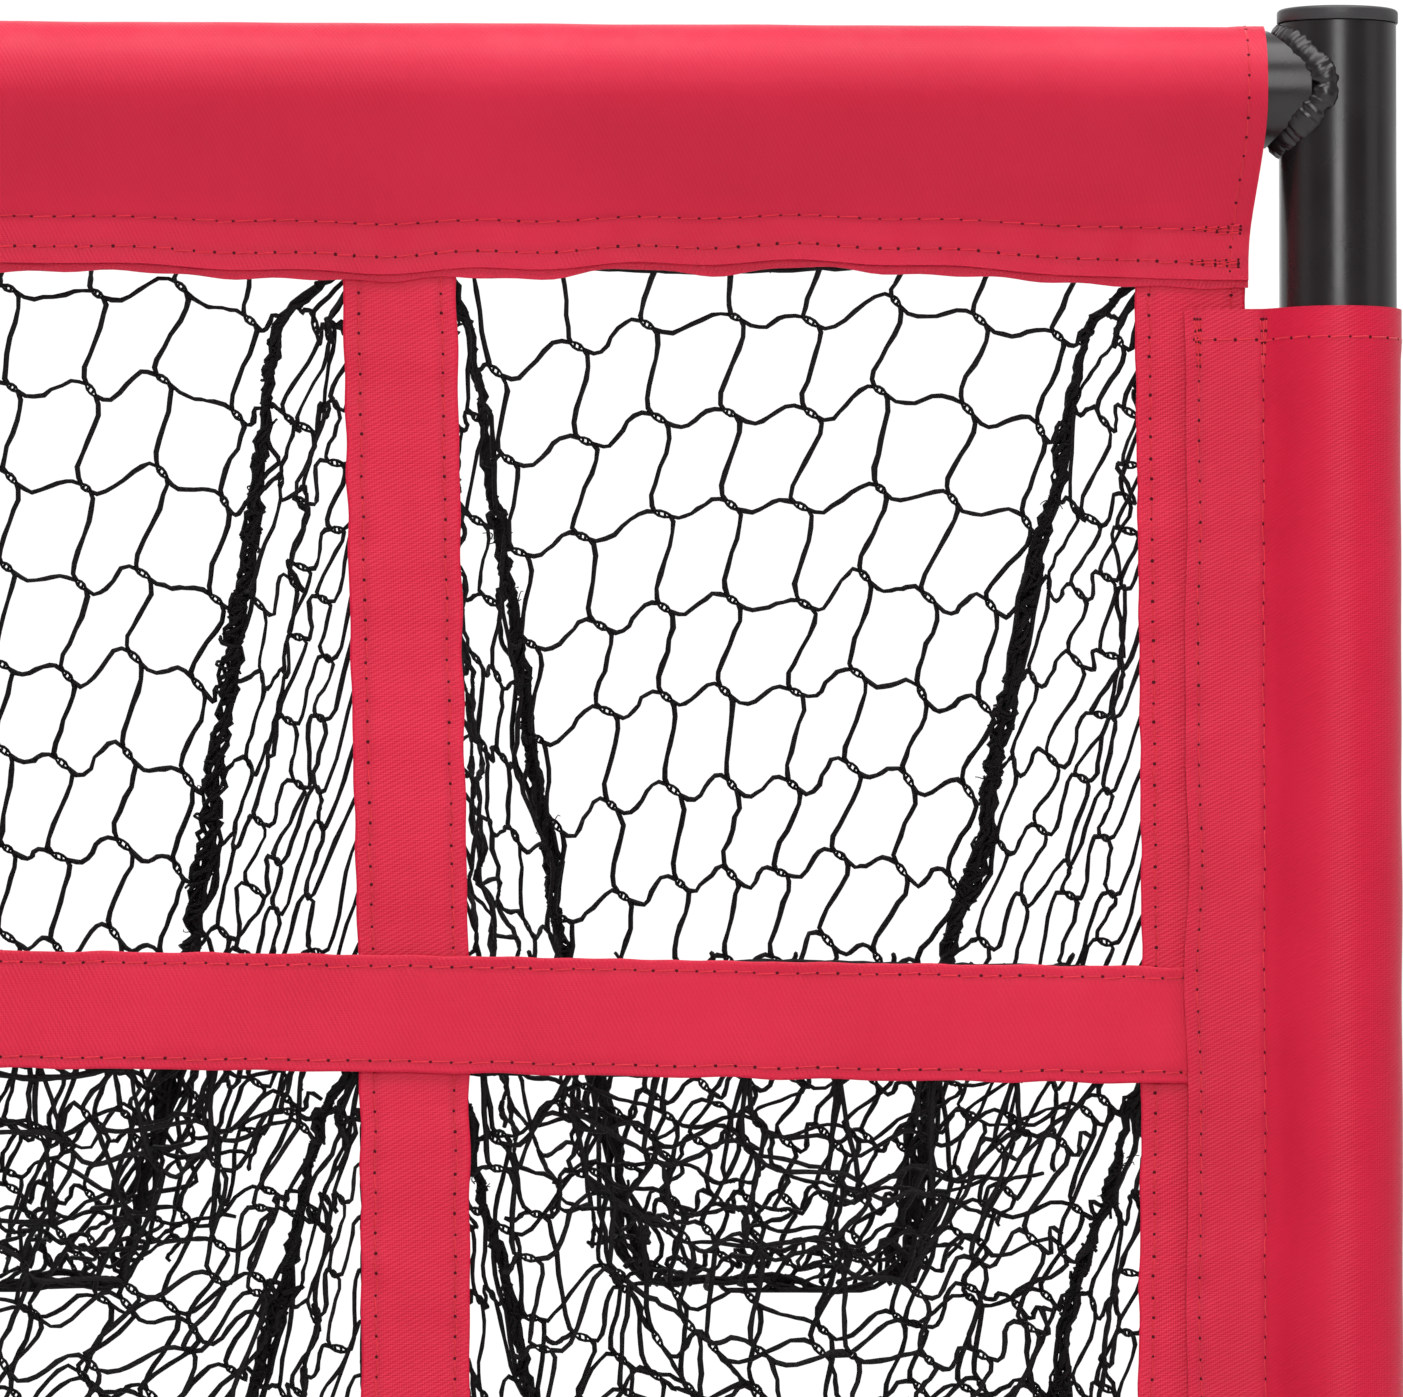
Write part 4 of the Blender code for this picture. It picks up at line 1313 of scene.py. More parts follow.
    def foot_cap(self, node: str, way: Array, tube: Place, body: str) -> None:
        """Build a rubber cap: a ribbed cup with a square lower half that stands on the floor.

        Below the axis its radius at an angle is the least of the radius over the cosine, the
        height of the axis over the sine, and the chamfer across the corner between them.
        """
        cap = Place(node)
        axes = axes_along(way)
        start = (cap.centre - axes[2] * cap.size[1] / 2)[1]
        origin = np.array([tube.centre[0], start, tube.centre[2]])
        radius, length, inner = cap.size[0] / 2, cap.size[1], tube.size[0] / 2 + 0.0001
        sides, bore, groove, pitch, edge, lip = 72, 0.004, 0.0005, 0.0042, 0.0022, 0.0006
        turn = np.arange(sides) * (2 * math.pi / sides)
        stations = [(inner, bore), (inner, 0.0003), (inner + lip, 0.0), (radius - lip, 0.0),
                    (radius - 0.0001, 0.0004), (radius, 0.0010)]
        for k in range(4):
            low = bore + k * pitch
            stations += [(radius, low), (radius - groove, low + 0.0003),
                         (radius - groove, low + 0.0013), (radius, low + 0.0016)]
        stations += rounded(radius - edge, length - edge, edge, edge, QUARTER)
        stations += [(radius * 0.55, length), (radius * 0.25, length), (0.0, length)]
        profile = np.array([(0.0, bore)] + stations, float)
        down = -(axes[1] * np.sin(turn)[:, None] + axes[0] * np.cos(turn)[:, None])[:, 2]
        floor, flat = float(origin[2]), np.sqrt(np.clip(1 - down ** 2, 1e-6, 1))
        low = np.maximum(down, 1e-6)
        square = np.minimum(np.minimum(radius / flat, floor / low),
                            0.8 * (radius + floor) / (flat + low)) / radius
        outer = (profile[1:-1, 0] > inner + 0.0002)[:, None]
        lobes = np.where(outer & (down > 0)[None], square[None], 1.0)
        draft = Draft()
        draft.turned(profile, sides, origin, axes, lobes=lobes)
        self.shop.deliver(draft, node + "_rubber", ("rubber_black",), body, (node,), 40)

    def knob(self, side: str, sign: int) -> None:
        """Build the lobed clamp knob with its threaded shank, and dress the nut behind it.

        With w = (1 + cos 5a) / 2, the grip's radius is R (1 - d (1 - sqrt w)). The depth d of
        the hollows fades to nothing at the collar.
        """
        knob = Place(f"clamp_knob_{side}")
        axes = axes_along(sign * X)
        inner_end = knob.low[0] if sign > 0 else knob.high[0]
        origin = np.array([inner_end, knob.centre[1], knob.centre[2]])
        length, grip = float(knob.size[0]), float(knob.size[1]) / 2
        grip_start = length - 0.014
        sides, shank, pitch, hub, depth, low_round, high_round = (
            120, 0.0036, 0.001, 0.0078, 0.21, 0.0022, 0.0030)
        turn = np.arange(sides) * (2 * math.pi / sides)
        thread = [(0.0, 0.0), (shank - 0.0008, 0.0)]
        for k in range(int((grip_start - 0.0045) / pitch)):
            thread += [(shank - 0.0005, 0.0006 + k * pitch), (shank, 0.0006 + (k + 0.5) * pitch)]
        collar = [(shank - 0.0004, grip_start - 0.0042), (0.0072, grip_start - 0.0040),
                  (0.0076, grip_start - 0.0034), (hub, grip_start)]
        body_low = rounded(grip - low_round, grip_start + low_round, low_round, low_round,
                           QUARTER - math.pi / 2)
        body_high = rounded(grip - high_round, length - 0.0042, high_round, high_round, QUARTER)
        cover = [(hub, length - 0.0009), (0.0070, length - 0.0014), (0.0064, length - 0.0005),
                 (0.0035, length - 0.0001), (0.0, length)]
        profile = np.array(thread + collar + body_low + body_high + cover, float)
        share = np.clip((profile[1:-1, 0] - hub) / (grip - hub), 0, 1)[:, None]
        wave = 0.5 - 0.5 * np.cos(5 * turn + math.pi)
        lobes = 1 - share * depth * (1 - np.sqrt(np.clip(wave, 0, 1)))
        draft = Draft()
        draft.turned(profile, sides, origin, axes, lobes=lobes)
        self.shop.deliver(draft, f"clamp_knob_{side}_grip", ("plastic_black",), f"knob_{side}",
                          (f"clamp_knob_{side}",), 40)
        self.keep(f"clamp_nut_{side}", "zinc_steel")

    def button(self, side: str, sign: int) -> None:
        """Build the snap button: a domed pin with its flange inside the tube."""
        button = Place(f"snap_button_{side}")
        start = button.low[0] if sign > 0 else button.high[0]
        origin = np.array([start, button.centre[1], button.centre[2]])
        axes = axes_along(sign * X)
        length, flange, pin = float(button.size[0]), float(button.size[1]) / 2, 0.0031
        edge, rise, drop = 0.0012, 0.0010, 0.0004
        tip = rounded(pin - edge, length - rise - drop, edge, rise,
                      np.linspace(0, math.pi / 2, 8))
        crown = [((pin - edge) * s, length - drop * s ** 2) for s in np.linspace(0.85, 0, 6)]
        profile = np.array([(0, 0), (flange - 0.0002, 0), (flange, 0.0002), (flange, 0.0008),
                            (flange - 0.0002, 0.0010), (pin + 0.0002, 0.0010),
                            (pin, 0.0013)] + tip + crown, float)
        draft = Draft()
        draft.turned(profile, 64, origin, axes)
        self.shop.deliver(draft, f"snap_button_{side}_pin", ("zinc_steel",), f"button_{side}",
                          (f"snap_button_{side}",), 40)


# ---------------------------------------------------------------------------
# Netting
# ---------------------------------------------------------------------------
@dataclass(frozen=True)
class BagShape:
    """What differs from pocket to pocket, all in metres.

    hem_slack is how much lower each column of meshes hangs from the hem, seam_top and
    seam_low how far the left and right seam ropes stand in from the mouth's sides near the
    top and at two thirds of the height, and rope the thickness of those ropes. folds counts
    the loose plies of net that hang forward of the back panel.
    """

    hem_slack: tuple[float, ...]
    seam_top: tuple[float, float]
    seam_low: tuple[float, float]
    rope: tuple[float, float]
    folds: int = 0


@dataclass
class NetBag:
    """Knotless twine pocket: a back panel, two gussets and a floor, gathered on ropes.

    The back falls away from the mouth: at a share s of the way down its depth is
    D (1 - (1 - s)^1.35), and its half width shrinks from the mouth's to about a third of it.
    The sizes twine, strand, rung and binding are radii.
    """

    node: str
    shape: BagShape
    seed: int
    twine: float = 0.00057
    strand: float = 0.00038
    rung: float = 0.00036
    binding: float = 0.00036
    link_half: float = 0.0015
    link_gap: float = 0.00062
    mesh_side: float = 0.022
    mesh_rows: int = 13
    mesh_columns: int = 8
    row_pitch: float = 0.0192
    draft: Draft = field(default_factory=Draft)

    def __post_init__(self) -> None:
        """Read the pocket's box and start its random numbers."""
        self.place = Place(self.node)
        self.rng = np.random.default_rng(self.seed)
        self.half = float(self.place.size[0]) / 2 - 0.0009
        self.middle = float(self.place.centre[0])
        self.mouth = float(self.place.low[1]) + 0.0007
        self.depth = float(self.place.size[1]) - 0.004
        self.top = float(self.place.high[2]) - 0.001
        self.bottom = float(self.place.low[2]) + 0.001
        self.drop = float(self.place.size[2]) - 0.003
        self.mouth_low = self.top - 2 * self.half

    def seam(self, s: Array, side: int) -> Array:
        """Points on a seam rope at shares s of the way down; side is -1 left or 1 right."""
        k = (side + 1) // 2
        high, low = self.shape.seam_top[k], self.shape.seam_low[k]
        inset = np.interp(s, [0, 0.06, 0.62, 1.0], [0.0015, high, low, self.half * 0.64])
        wave = 0.0016 * ripple(s * self.drop, 0.06, self.seed + side)
        x = self.middle + side * (self.half - inset) + wave * ease(s, 0.02, 0.1)
        sway = 0.0022 * ripple(s * self.drop, 0.09, self.seed + 7 + side)
        y = self.mouth + self.depth * (1 - (1 - s) ** 1.35) * 0.98 + sway * ease(
            s, 0.05, 0.2) * (1 - s)
        return np.stack([x, y, self.top - s * self.drop], -1)

    def levels(self, first: float) -> Array:
        """Heights of the junction rows below the rim: even, then crowding at the bottom."""
        steps = np.full(self.mesh_rows - 1, self.row_pitch)
        steps[7:] = (self.drop - 0.006 - first - 7 * self.row_pitch) / max(
            self.mesh_rows - 8, 1)
        return first + np.concatenate([[0.0], np.cumsum(steps)])

    def back(self) -> Array:
        """Lattice of the back panel: rim row, junction rows and bottom row by columns."""
        rows, cols = self.mesh_rows + 2, self.mesh_columns + 2
        z_gap = self.levels(0.0125)
        s = np.concatenate([[0.0], z_gap / self.drop, [1.0]])
        left, right = self.seam(s, -1), self.seam(s, 1)
        w = np.concatenate([[0.0], np.linspace(0.045, 0.95, self.mesh_columns), [1.0]])
        points = left[:, None] + (right - left)[:, None] * w[:, None]
        slack = np.interp(np.arange(cols), np.arange(self.mesh_columns) + 1,
                          self.shape.hem_slack)
        fade = np.interp(s, [0, 0.001, 0.75, 1.0], [0, 1, 0.8, 0])
        points[..., 2] -= slack * fade[:, None]
        belly = np.sin(math.pi * w) * np.interp(s, [0, 0.3, 1], [0, 0.006, 0.002])[:, None]
        points[..., 1] += np.minimum(belly, self.mouth + self.depth - points[..., 1])
        points[0, :, 0] = self.middle + (points[1, :, 0] - self.middle) * 1.05 - 0.0016
        inner = self.rng.normal(0, 1, (rows, cols, 3)) * (0.0008, 0.0011, 0.0006)
        inner[0] *= (1.2, 0.4, 0.0)
        inner[-1] = 0
        inner[:, [0, -1]] = 0
        return points + inner

    def fold(self, forward: float) -> Array:
        """Lattice of a loose ply of net, the given share of the way from back to mouth."""
        points = self.back()
        x, z = points[..., 0].copy(), points[..., 2].copy()
        seed = self.seed + round(100 * forward)
        free = np.ones(points.shape[:2])
        free[[0, -1]] = 0
        points[..., 0] += 0.0075 * free * swell(x, z, 0.07, seed)
        points[..., 2] += free * (0.0065 * swell(x, z, 0.06, seed + 1) - 0.012 * forward)
        points[..., 1] -= (points[..., 1] - self.mouth) * forward
        points[..., 2] = np.maximum(points[..., 2], self.bottom)
        return points

    def gusset(self, side: int) -> Array:
        """Lattice of a side panel, from the mouth's upright edge back to the seam rope.

        Its meshes crowd towards the rope near the top, where the panel is only a point.
        """
        narrow = self.shape.seam_low[(side + 1) // 2] < 0.031
        columns = 7 if narrow else 5
        z_gap = self.levels(0.010)
        s = np.concatenate([[0.0], z_gap / self.drop, [1.0]])
        rope = self.seam(s, side)
        t = np.linspace(0, 1, len(s))
        front = np.stack([np.full_like(t, self.middle + side * self.half),
                          np.full_like(t, self.mouth),
                          self.top - 2 * self.half * np.clip(t * 1.02, 0, 1)], -1)
        w = np.linspace(0, 1, columns + 1) ** 0.9
        points = front[:, None] + (rope - front)[:, None] * w[:, None]
        spread = np.interp(t, [0, 0.25, 1], [0.15, 1.0, 1.0])[:, None]
        fold = np.sin(w * math.pi * 2.2 + self.rng.uniform(0, 6)) * np.sin(math.pi * w)
        points[..., 0] -= side * (0.0045 if narrow else 0.0018) * fold * spread
        points[..., 2] -= 0.012 * np.sin(math.pi * w) * spread
        jitter = self.rng.normal(0, 1, points.shape) * (0.0011, 0.0022, 0.0016)
        jitter[:, [0, -1]] = 0
        jitter[[0, -1]] = 0
        points = points + jitter
        points[..., 1] = np.maximum(points[..., 1], self.mouth)
        return points

    def floor(self) -> Array:
        """Lattice of the panel from the mouth's lower edge down and back to the bottom."""
        rows, cols = 9, self.mesh_columns + 1
        w = np.linspace(-1, 1, cols)
        lip = np.stack([self.middle + self.half * w, np.full(cols, self.mouth),
                        np.full(cols, self.mouth_low + 0.0052)], -1)
        low = self.seam(np.ones(1), -1)[0], self.seam(np.ones(1), 1)[0]
        end = low[0] + (low[1] - low[0]) * ((w + 1) / 2)[:, None]
        f = np.linspace(0, 1, rows)[:, None, None]
        points = lip + (end - lip) * f
        points[..., 2] -= 0.010 * np.sin(math.pi * f[..., 0])
        jitter = self.rng.normal(0, 1, points.shape) * (0.0024, 0.0026, 0.0022)
        jitter[0] = jitter[0] * (0.3, 0.0, 0.5)
        jitter[-1] = 0
        points = points + jitter
        points[..., 2] = np.maximum(points[..., 2], self.bottom)
        return points

    def panel(self, points: Array, slack: float, curl: float, flip: int = 1) -> None:
        """Hang twine and junction links on a lattice; its border rows carry no links.

        Every twine leaves a link's lower end and meets the next link's upper end in the
        same slanting direction T, so its path is a Hermite curve: chord times (3t^2 - 2t^3)
        plus T times (2t^3 - 3t^2 + t).

        Args:
            points: Rows by columns by 3.
            slack: Length of T over the true mesh side.
            curl: Random share of T out of the panel.
            flip: -1 where columns run right to left.
        """
        rows, cols = points.shape[:2]
        across = unit(np.gradient(points, axis=1)) * flip
        down = unit(np.gradient(points, axis=0))
        normal = unit(np.cross(down, across))
        slant = unit(across * 1.0 + down * 0.9)
        slant = unit(slant + self.rng.normal(0, 0.13, slant.shape) + normal * self.rng.normal(
            0, curl, (rows, cols, 1)))
        knot = np.zeros((rows, cols, 1))
        knot[1:-1, 1:-1] = 1
        half = self.link_half * knot * slant * self.rng.uniform(0.8, 1.2, (rows, cols, 1))
        start, stop = points + half, points - half
        tail = 0.55 * knot + 0.45
        t = np.linspace(0, 1, 9)[:, None]
        chord_share, bend_share = 3 * t ** 2 - 2 * t ** 3, 2 * t ** 3 - 3 * t ** 2 + t
        inside, first, last = slice(1, -1), slice(0, -1), slice(1, None)
        level = ((inside, first), (inside, last))[::flip]
        for a, b, reach in ((*level, 1.0), ((first, inside), (last, inside), 0.62)):
            p0, p1 = start[a].reshape(-1, 3), stop[b].reshape(-1, 3)
            size = slack * reach * self.mesh_side * tail[a].reshape(-1, 1) * self.rng.uniform(
                0.75, 1.25, (len(p0), 1))
            bend = size * (slant[a].reshape(-1, 3) + slant[b].reshape(-1, 3)) / 2
            chord = (p1 - p0)[:, None]
            paths = p0[:, None] + chord * chord_share + bend[:, None] * bend_share
            droop = (1 - np.abs(unit(p1 - p0)[:, 2])) * self.rng.uniform(0, 0.0014, len(p0))
            paths[..., 2] -= droop[:, None] * (4 * t * (1 - t))[:, 0]
            wobble = 0.00016 * self.rng.normal(0, 1, paths.shape)
            wobble[:, [0, -1]] = 0
            thick = self.twine * (1 + 0.10 * self.rng.normal(0, 1, paths.shape[:2]))
            thick[:, [0, -1]] *= 0.85
            self.draft.tubes(paths + wobble, normal[a].reshape(-1, 3), thick, 4,
                             tint=self.rng.uniform(0, 1, len(p0)))
        self.links(points[1:-1, 1:-1].reshape(-1, 3), half[1:-1, 1:-1].reshape(-1, 3),
                   normal[1:-1, 1:-1].reshape(-1, 3))

    def links(self, centre: Array, half: Array, normal: Array) -> None:
        """Make the knitted junctions: two strands side by side, joined by short rungs."""
        side = unit(np.cross(half, normal))
        t = np.linspace(-1, 1, 4)[:, None]
        tint = self.rng.uniform(0, 1, len(centre))
        gap = self.link_gap
        for sign in (-1, 1):
            bulge = gap * (1 - 0.75 * t ** 4)
            paths = centre[:, None] + 1.12 * half[:, None] * t + sign * side[:, None] * bulge
            self.draft.tubes(paths, normal, self.strand * (1 + 0.12 * self.rng.normal(
                0, 1, paths.shape[:2])), 3, tint=tint)
        r = np.linspace(-1, 1, 2)[:, None]
        for share in (-0.42, 0.36):
            at = centre[:, None] + half[:, None] * (share + 0.16 * r) + side[:, None] * gap * r
            self.draft.tubes(at + normal[:, None] * 0.0001, normal, self.rung, 3, tint=tint)

    def rope(self, path: Array, thickness: Array, strands: int, loops: int) -> None:
        """Lay strands round a path and bind them with loops of twine.

        Args:
            path: Points of the rope's middle.
            thickness: Rope radius at each point.
            strands: Number of strands.
            loops: Number of binding loops.
        """
        run = distances(path)
        along = unit(np.gradient(path, axis=0))
        b = unit(np.cross(along, Y + 0.3 * X))
        c = np.cross(along, b)
        phase = np.arange(strands)[:, None] * (2 * math.pi / strands) + 2 * math.pi * run / 0.017
        phase = phase + np.stack([1.3 * ripple(run, 0.02, self.seed + 50 + k)
                                  for k in range(strands)])
        loose = 0.85 + 0.42 * np.stack([ripple(run, 0.011, self.seed + 90 + k)
                                     for k in range(strands)])
        off = (thickness * loose)[..., None]
        paths = path + off * (np.cos(phase)[..., None] * b + np.sin(phase)[..., None] * c)
        self.draft.tubes(paths, Y + 0.3 * X, self.twine * (1 + 0.15 * self.rng.normal(
            0, 1, paths.shape[:2])), 4, tint=self.rng.uniform(0, 1, strands))
        at = self.rng.integers(2, len(path) - 3, loops)
        turn = np.linspace(0, 1.7 * math.pi, 7) + self.rng.uniform(0, 6, (loops, 1))
        wide = (thickness[at] * self.rng.uniform(0.9, 1.1, loops) + 0.0002)[:, None, None]
        slip = np.linspace(-1, 1, 7) * self.rng.normal(0, 0.0022, (loops, 1))
        ring = (path[at][:, None] + wide * (np.cos(turn)[..., None] * b[at][:, None]
                + np.sin(turn)[..., None] * c[at][:, None]) + slip[..., None]
                * along[at][:, None])
        ring[..., 1] = np.maximum(ring[..., 1], self.mouth)
        self.draft.tubes(ring, along[at], self.binding, 4, tint=self.rng.uniform(0, 1, loops))

    def tangle(self, path: Array, count: int, reach: float) -> None:
        """Let slack bights of twine leave a rope and come back to it further down.

        Args:
            path: Points of the rope's middle.
            count: Number of bights.
            reach: How far the widest one stands off.
        """
        start = self.rng.integers(0, len(path) - 9, count)[:, None]
        span = np.minimum(self.rng.integers(6, 24, count)[:, None], len(path) - 1 - start)
        t = np.linspace(0, 1, 11)
        index = start + span * t
        paths = np.stack([np.interp(index, np.arange(len(path)), path[:, k])
                          for k in range(3)], -1)
        off = reach * self.rng.uniform(0.15, 1.0, (count, 1)) * (
            np.sin(math.pi * t) ** 0.8 + self.rng.uniform(-0.3, 0.3, (count, 1))
            * np.sin(3 * math.pi * t))
        turn = self.rng.uniform(0, 2 * math.pi, (count, 1))
        paths = paths + np.stack([off * np.cos(turn), 0.5 * off * np.sin(turn), -0.4 * off], -1)
        paths[..., 1] = np.maximum(paths[..., 1], self.mouth)
        paths[..., 2] = np.maximum(paths[..., 2], self.bottom)
        self.draft.tubes(paths, Y + 0.3 * X, self.twine, 4,
                         tint=self.rng.uniform(0, 1, count))

    def frays(self, roots: Array, reach: float) -> None:
        """Let short curly cut ends stick out from the given points."""
        count = len(roots)
        way = unit(self.rng.normal(0, 1, (count, 3)) * (1.0, 0.6, 1.0))
        side = unit(np.cross(way, self.rng.normal(0, 1, (count, 3))))
        t = np.linspace(0, 1, 7)[:, None]
        size = self.rng.uniform(0.4, 1.0, (count, 1, 1)) * reach
        curl = self.rng.uniform(0.25, 0.6, (count, 1, 1)) * np.sin(
            t * self.rng.uniform(2.0, 6.0, (count, 1, 1)))
        paths = roots[:, None] + size * (way[:, None] * t + side[:, None] * curl)
        paths[..., 1] = np.maximum(paths[..., 1], self.mouth)
        self.draft.tubes(paths, np.cross(way, side), np.linspace(0.00020, 0.00012, 7)
                         + np.zeros((count, 1)), 3, tint=self.rng.uniform(0, 1, count))

    def make(self, shop: Workshop) -> bpy.types.Object:
        """Build the pocket as one piece.

        Args:
            shop: Where the piece is delivered.

        Returns:
            The pocket.
        """
        self.panel(self.back(), 0.98, 0.15)
        self.panel(self.gusset(-1), 0.95, 0.30)
        self.panel(self.gusset(1), 0.95, 0.30, flip=-1)
        self.panel(self.floor(), 1.15, 0.5)
        for k in range(self.shape.folds):
            self.panel(self.fold(0.28 + 0.34 * k), 1.1, 0.4)
        s = np.linspace(0.012, 1, 110)
        for k, side in enumerate((-1, 1)):
            path = self.seam(s, side) + self.rng.normal(0, 0.00035, (len(s), 3))
            heavy = self.shape.rope[k] * np.clip(0.45 + 0.7 * ease(s, 0.0, 0.45) + 0.35 * ripple(
                s, 0.09, self.seed + k), 0.3, 1.6) * (1 - 0.6 * ease(s, 0.70, 0.93))
            self.rope(path, heavy, 7, 70)
            self.tangle(path[68:], 26, 0.0085)
            self.tangle(path[14:70], 10, 0.0034)
            spots = np.repeat(self.rng.integers(4, len(path) - 20, 5), 9)
            near = path[spots] + self.rng.normal(0, 0.0007, (len(spots), 3))
            self.frays(near, 0.0030)
        low = resample(np.stack([self.seam(np.ones(1), -1)[0], self.seam(np.ones(1), 1)[0]]),
                       0.0016)
        low[:, 2] += 0.0026 * ripple(distances(low), 0.03, self.seed + 3) + 0.0012
        self.rope(low, 0.0003 + 0.0004 * np.abs(ripple(distances(low), 0.02, self.seed)), 3, 8)
        self.tangle(low, 12, 0.0095)
        h = self.half
        corners = np.array([(-h, self.top), (h, self.top), (h, self.mouth_low),
                            (-h, self.mouth_low), (-h, self.top)])
        ring = np.stack([self.middle + corners[:, 0], np.full(5, self.mouth), corners[:, 1]], 1)
        ring = soften(resample(ring, 0.003), 2)
        peek = ring[:, 2] - (self.top + self.mouth_low) / 2
        ring[:, 2] -= np.sign(peek) * ease(np.abs(peek), h - 0.004, h) * (
            0.0024 + 0.0024 * ripple(distances(ring), 0.06, self.seed))
        self.rope(ring[:-1], np.full(len(ring) - 1, 0.0003), 2, 20)
        return shop.deliver(self.draft, self.node + "_twine", ("net_black",),
                            instead_of=(self.node,), sharp=180)


# ---------------------------------------------------------------------------
# The whole target and its studio
# ---------------------------------------------------------------------------
@dataclass
class Target:
    """The cloth grid with its nine pockets, hung in the steel frame."""

    shop: Workshop

    def sleeves(self) -> None:
        """Sew the header, bottom and side sleeves round their tubes."""
        rail, post = Place("top_rail_right"), Place("post_right")
        header, low = Place("header_sleeve"), Place("bottom_sleeve")
        base = Place("bottom_rail_right")
        spots = tuple(s * x for s, x in ((-1, 0.262), (-1, 0.250), (-1, 0.17), (-1, 0.0845),
                                         (1, 0.0), (1, 0.0845), (1, 0.17), (1, 0.250),
                                         (1, 0.262)))
        hang = tuple(0.001 * h for h in (3.0, 3.4, -1.0, 2.6, 0.2, 2.6, -1.0, 3.4, 3.0))
        Sleeve("header_sleeve", rail, -Z, float(header.size[0]) / 2,
               np.array([0.0, rail.centre[1], rail.centre[2]]), 0.0375, 0.0392,
               (0.0277, 0.0340), 0.00065, 11, sag=hang, sag_at=spots, taper=0.012).make(
                   self.shop, "cloth_red")
        Sleeve("bottom_sleeve", base, Z, float(low.size[0]) / 2,
               np.array([0.0, base.centre[1], base.centre[2]]), 0.0380, 0.0392,
               (0.0277, 0.0340), 0.00065, 12, sag=tuple(-0.3 * h for h in hang),
               sag_at=spots, taper=0.006).make(self.shop, "cloth_red")
        for side, sign in SIDES:
            sleeve = Place(f"side_sleeve_{side}")
            post = Place(f"post_{side}")
            middle = np.array([post.centre[0], post.centre[1], sleeve.centre[2]])
            Sleeve(f"side_sleeve_{side}", post, -sign * X, float(sleeve.size[2]) / 2, middle,
                   0.0327, 0.0322, (0.0160, 0.0300), 0.00195, 14 + sign,
                   end_hem=0.0066).make(
                       self.shop, "cloth_red")

    def grid(self) -> None:
        """Sew the bands and straps between the openings."""
        for k, (side, sign) in enumerate(SIDES):
            bow = tuple(sign * 0.001 * b for b in (-0.8, 0.9, 2.8, 3.2, 2.2, 1.0, 0.0))
            Band(f"upright_strap_{side}", 31 + k, bow, (1.02, 0.99, 0.96, 0.97, 1.0),
                 0.0032).make(self.shop, "webbing_red")
            edge = tuple(sign * 0.001 * b for b in (-0.6, 0.4, 1.0, -0.2, 0.3, -0.5, 0.2))
            Band(f"side_band_{side}", 41 + k, edge, (1.0,), 0.0030).make(
                self.shop, "webbing_red")
        dip = tuple(0.001 * b for b in (-1.7, -0.9, 0.6, 1.5, 0.6, -0.9, -1.7))
        Band("level_band_upper", 51, dip, (1.0,), 0.0024).make(self.shop, "webbing_red")
        Band("level_band_lower", 52, tuple(0.7 * d for d in dip), (1.0,), 0.0024).make(
            self.shop, "webbing_red")

    def pockets(self) -> None:
        """Hang the nine net pockets."""
        rng = np.random.default_rng(7)
        for i, row in enumerate(ROW_NAMES):
            for j, column in enumerate(COLUMN_NAMES):
                slack = tuple(rng.normal(0.001, 0.004, 8))
                shape = BagShape(slack, tuple(rng.uniform(0.006, 0.014, 2)),
                                 tuple(rng.uniform(0.024, 0.037, 2)),
                                 tuple(rng.uniform(0.0011, 0.0016, 2)), (0, 2, 1)[i])
                if (row, column) == ("top", "right"):
                    hang = (11.0, 6.0, 1.5, 0.0, 0.0, -4.6, -0.5, 2.7)
                    shape = BagShape(tuple(0.001 * h for h in hang), (0.0065, 0.0140),
                                     (0.0275, 0.0370), (0.0011, 0.0016))
                if (row, column) == ("top", "middle"):
                    shape = BagShape(slack, (0.007, 0.018), (0.024, 0.034), (0.0012, 0.0018))
                NetBag(f"net_bag_{row}_{column}", shape, 100 + 10 * i + j).make(self.shop)


def aimed(place: Array, target: Array) -> mathutils.Matrix:
    """Placing of a light or camera that looks from one point at another, upright."""
    way = unit(place - target)
    right = unit(np.cross(Z, way)) if abs(way[2]) < 0.98 else X
    matrix = np.eye(4)
    matrix[:3, :3] = np.stack([right, np.cross(way, right), way], 1)
    matrix[:3, 3] = place
    return mathutils.Matrix(matrix.tolist())


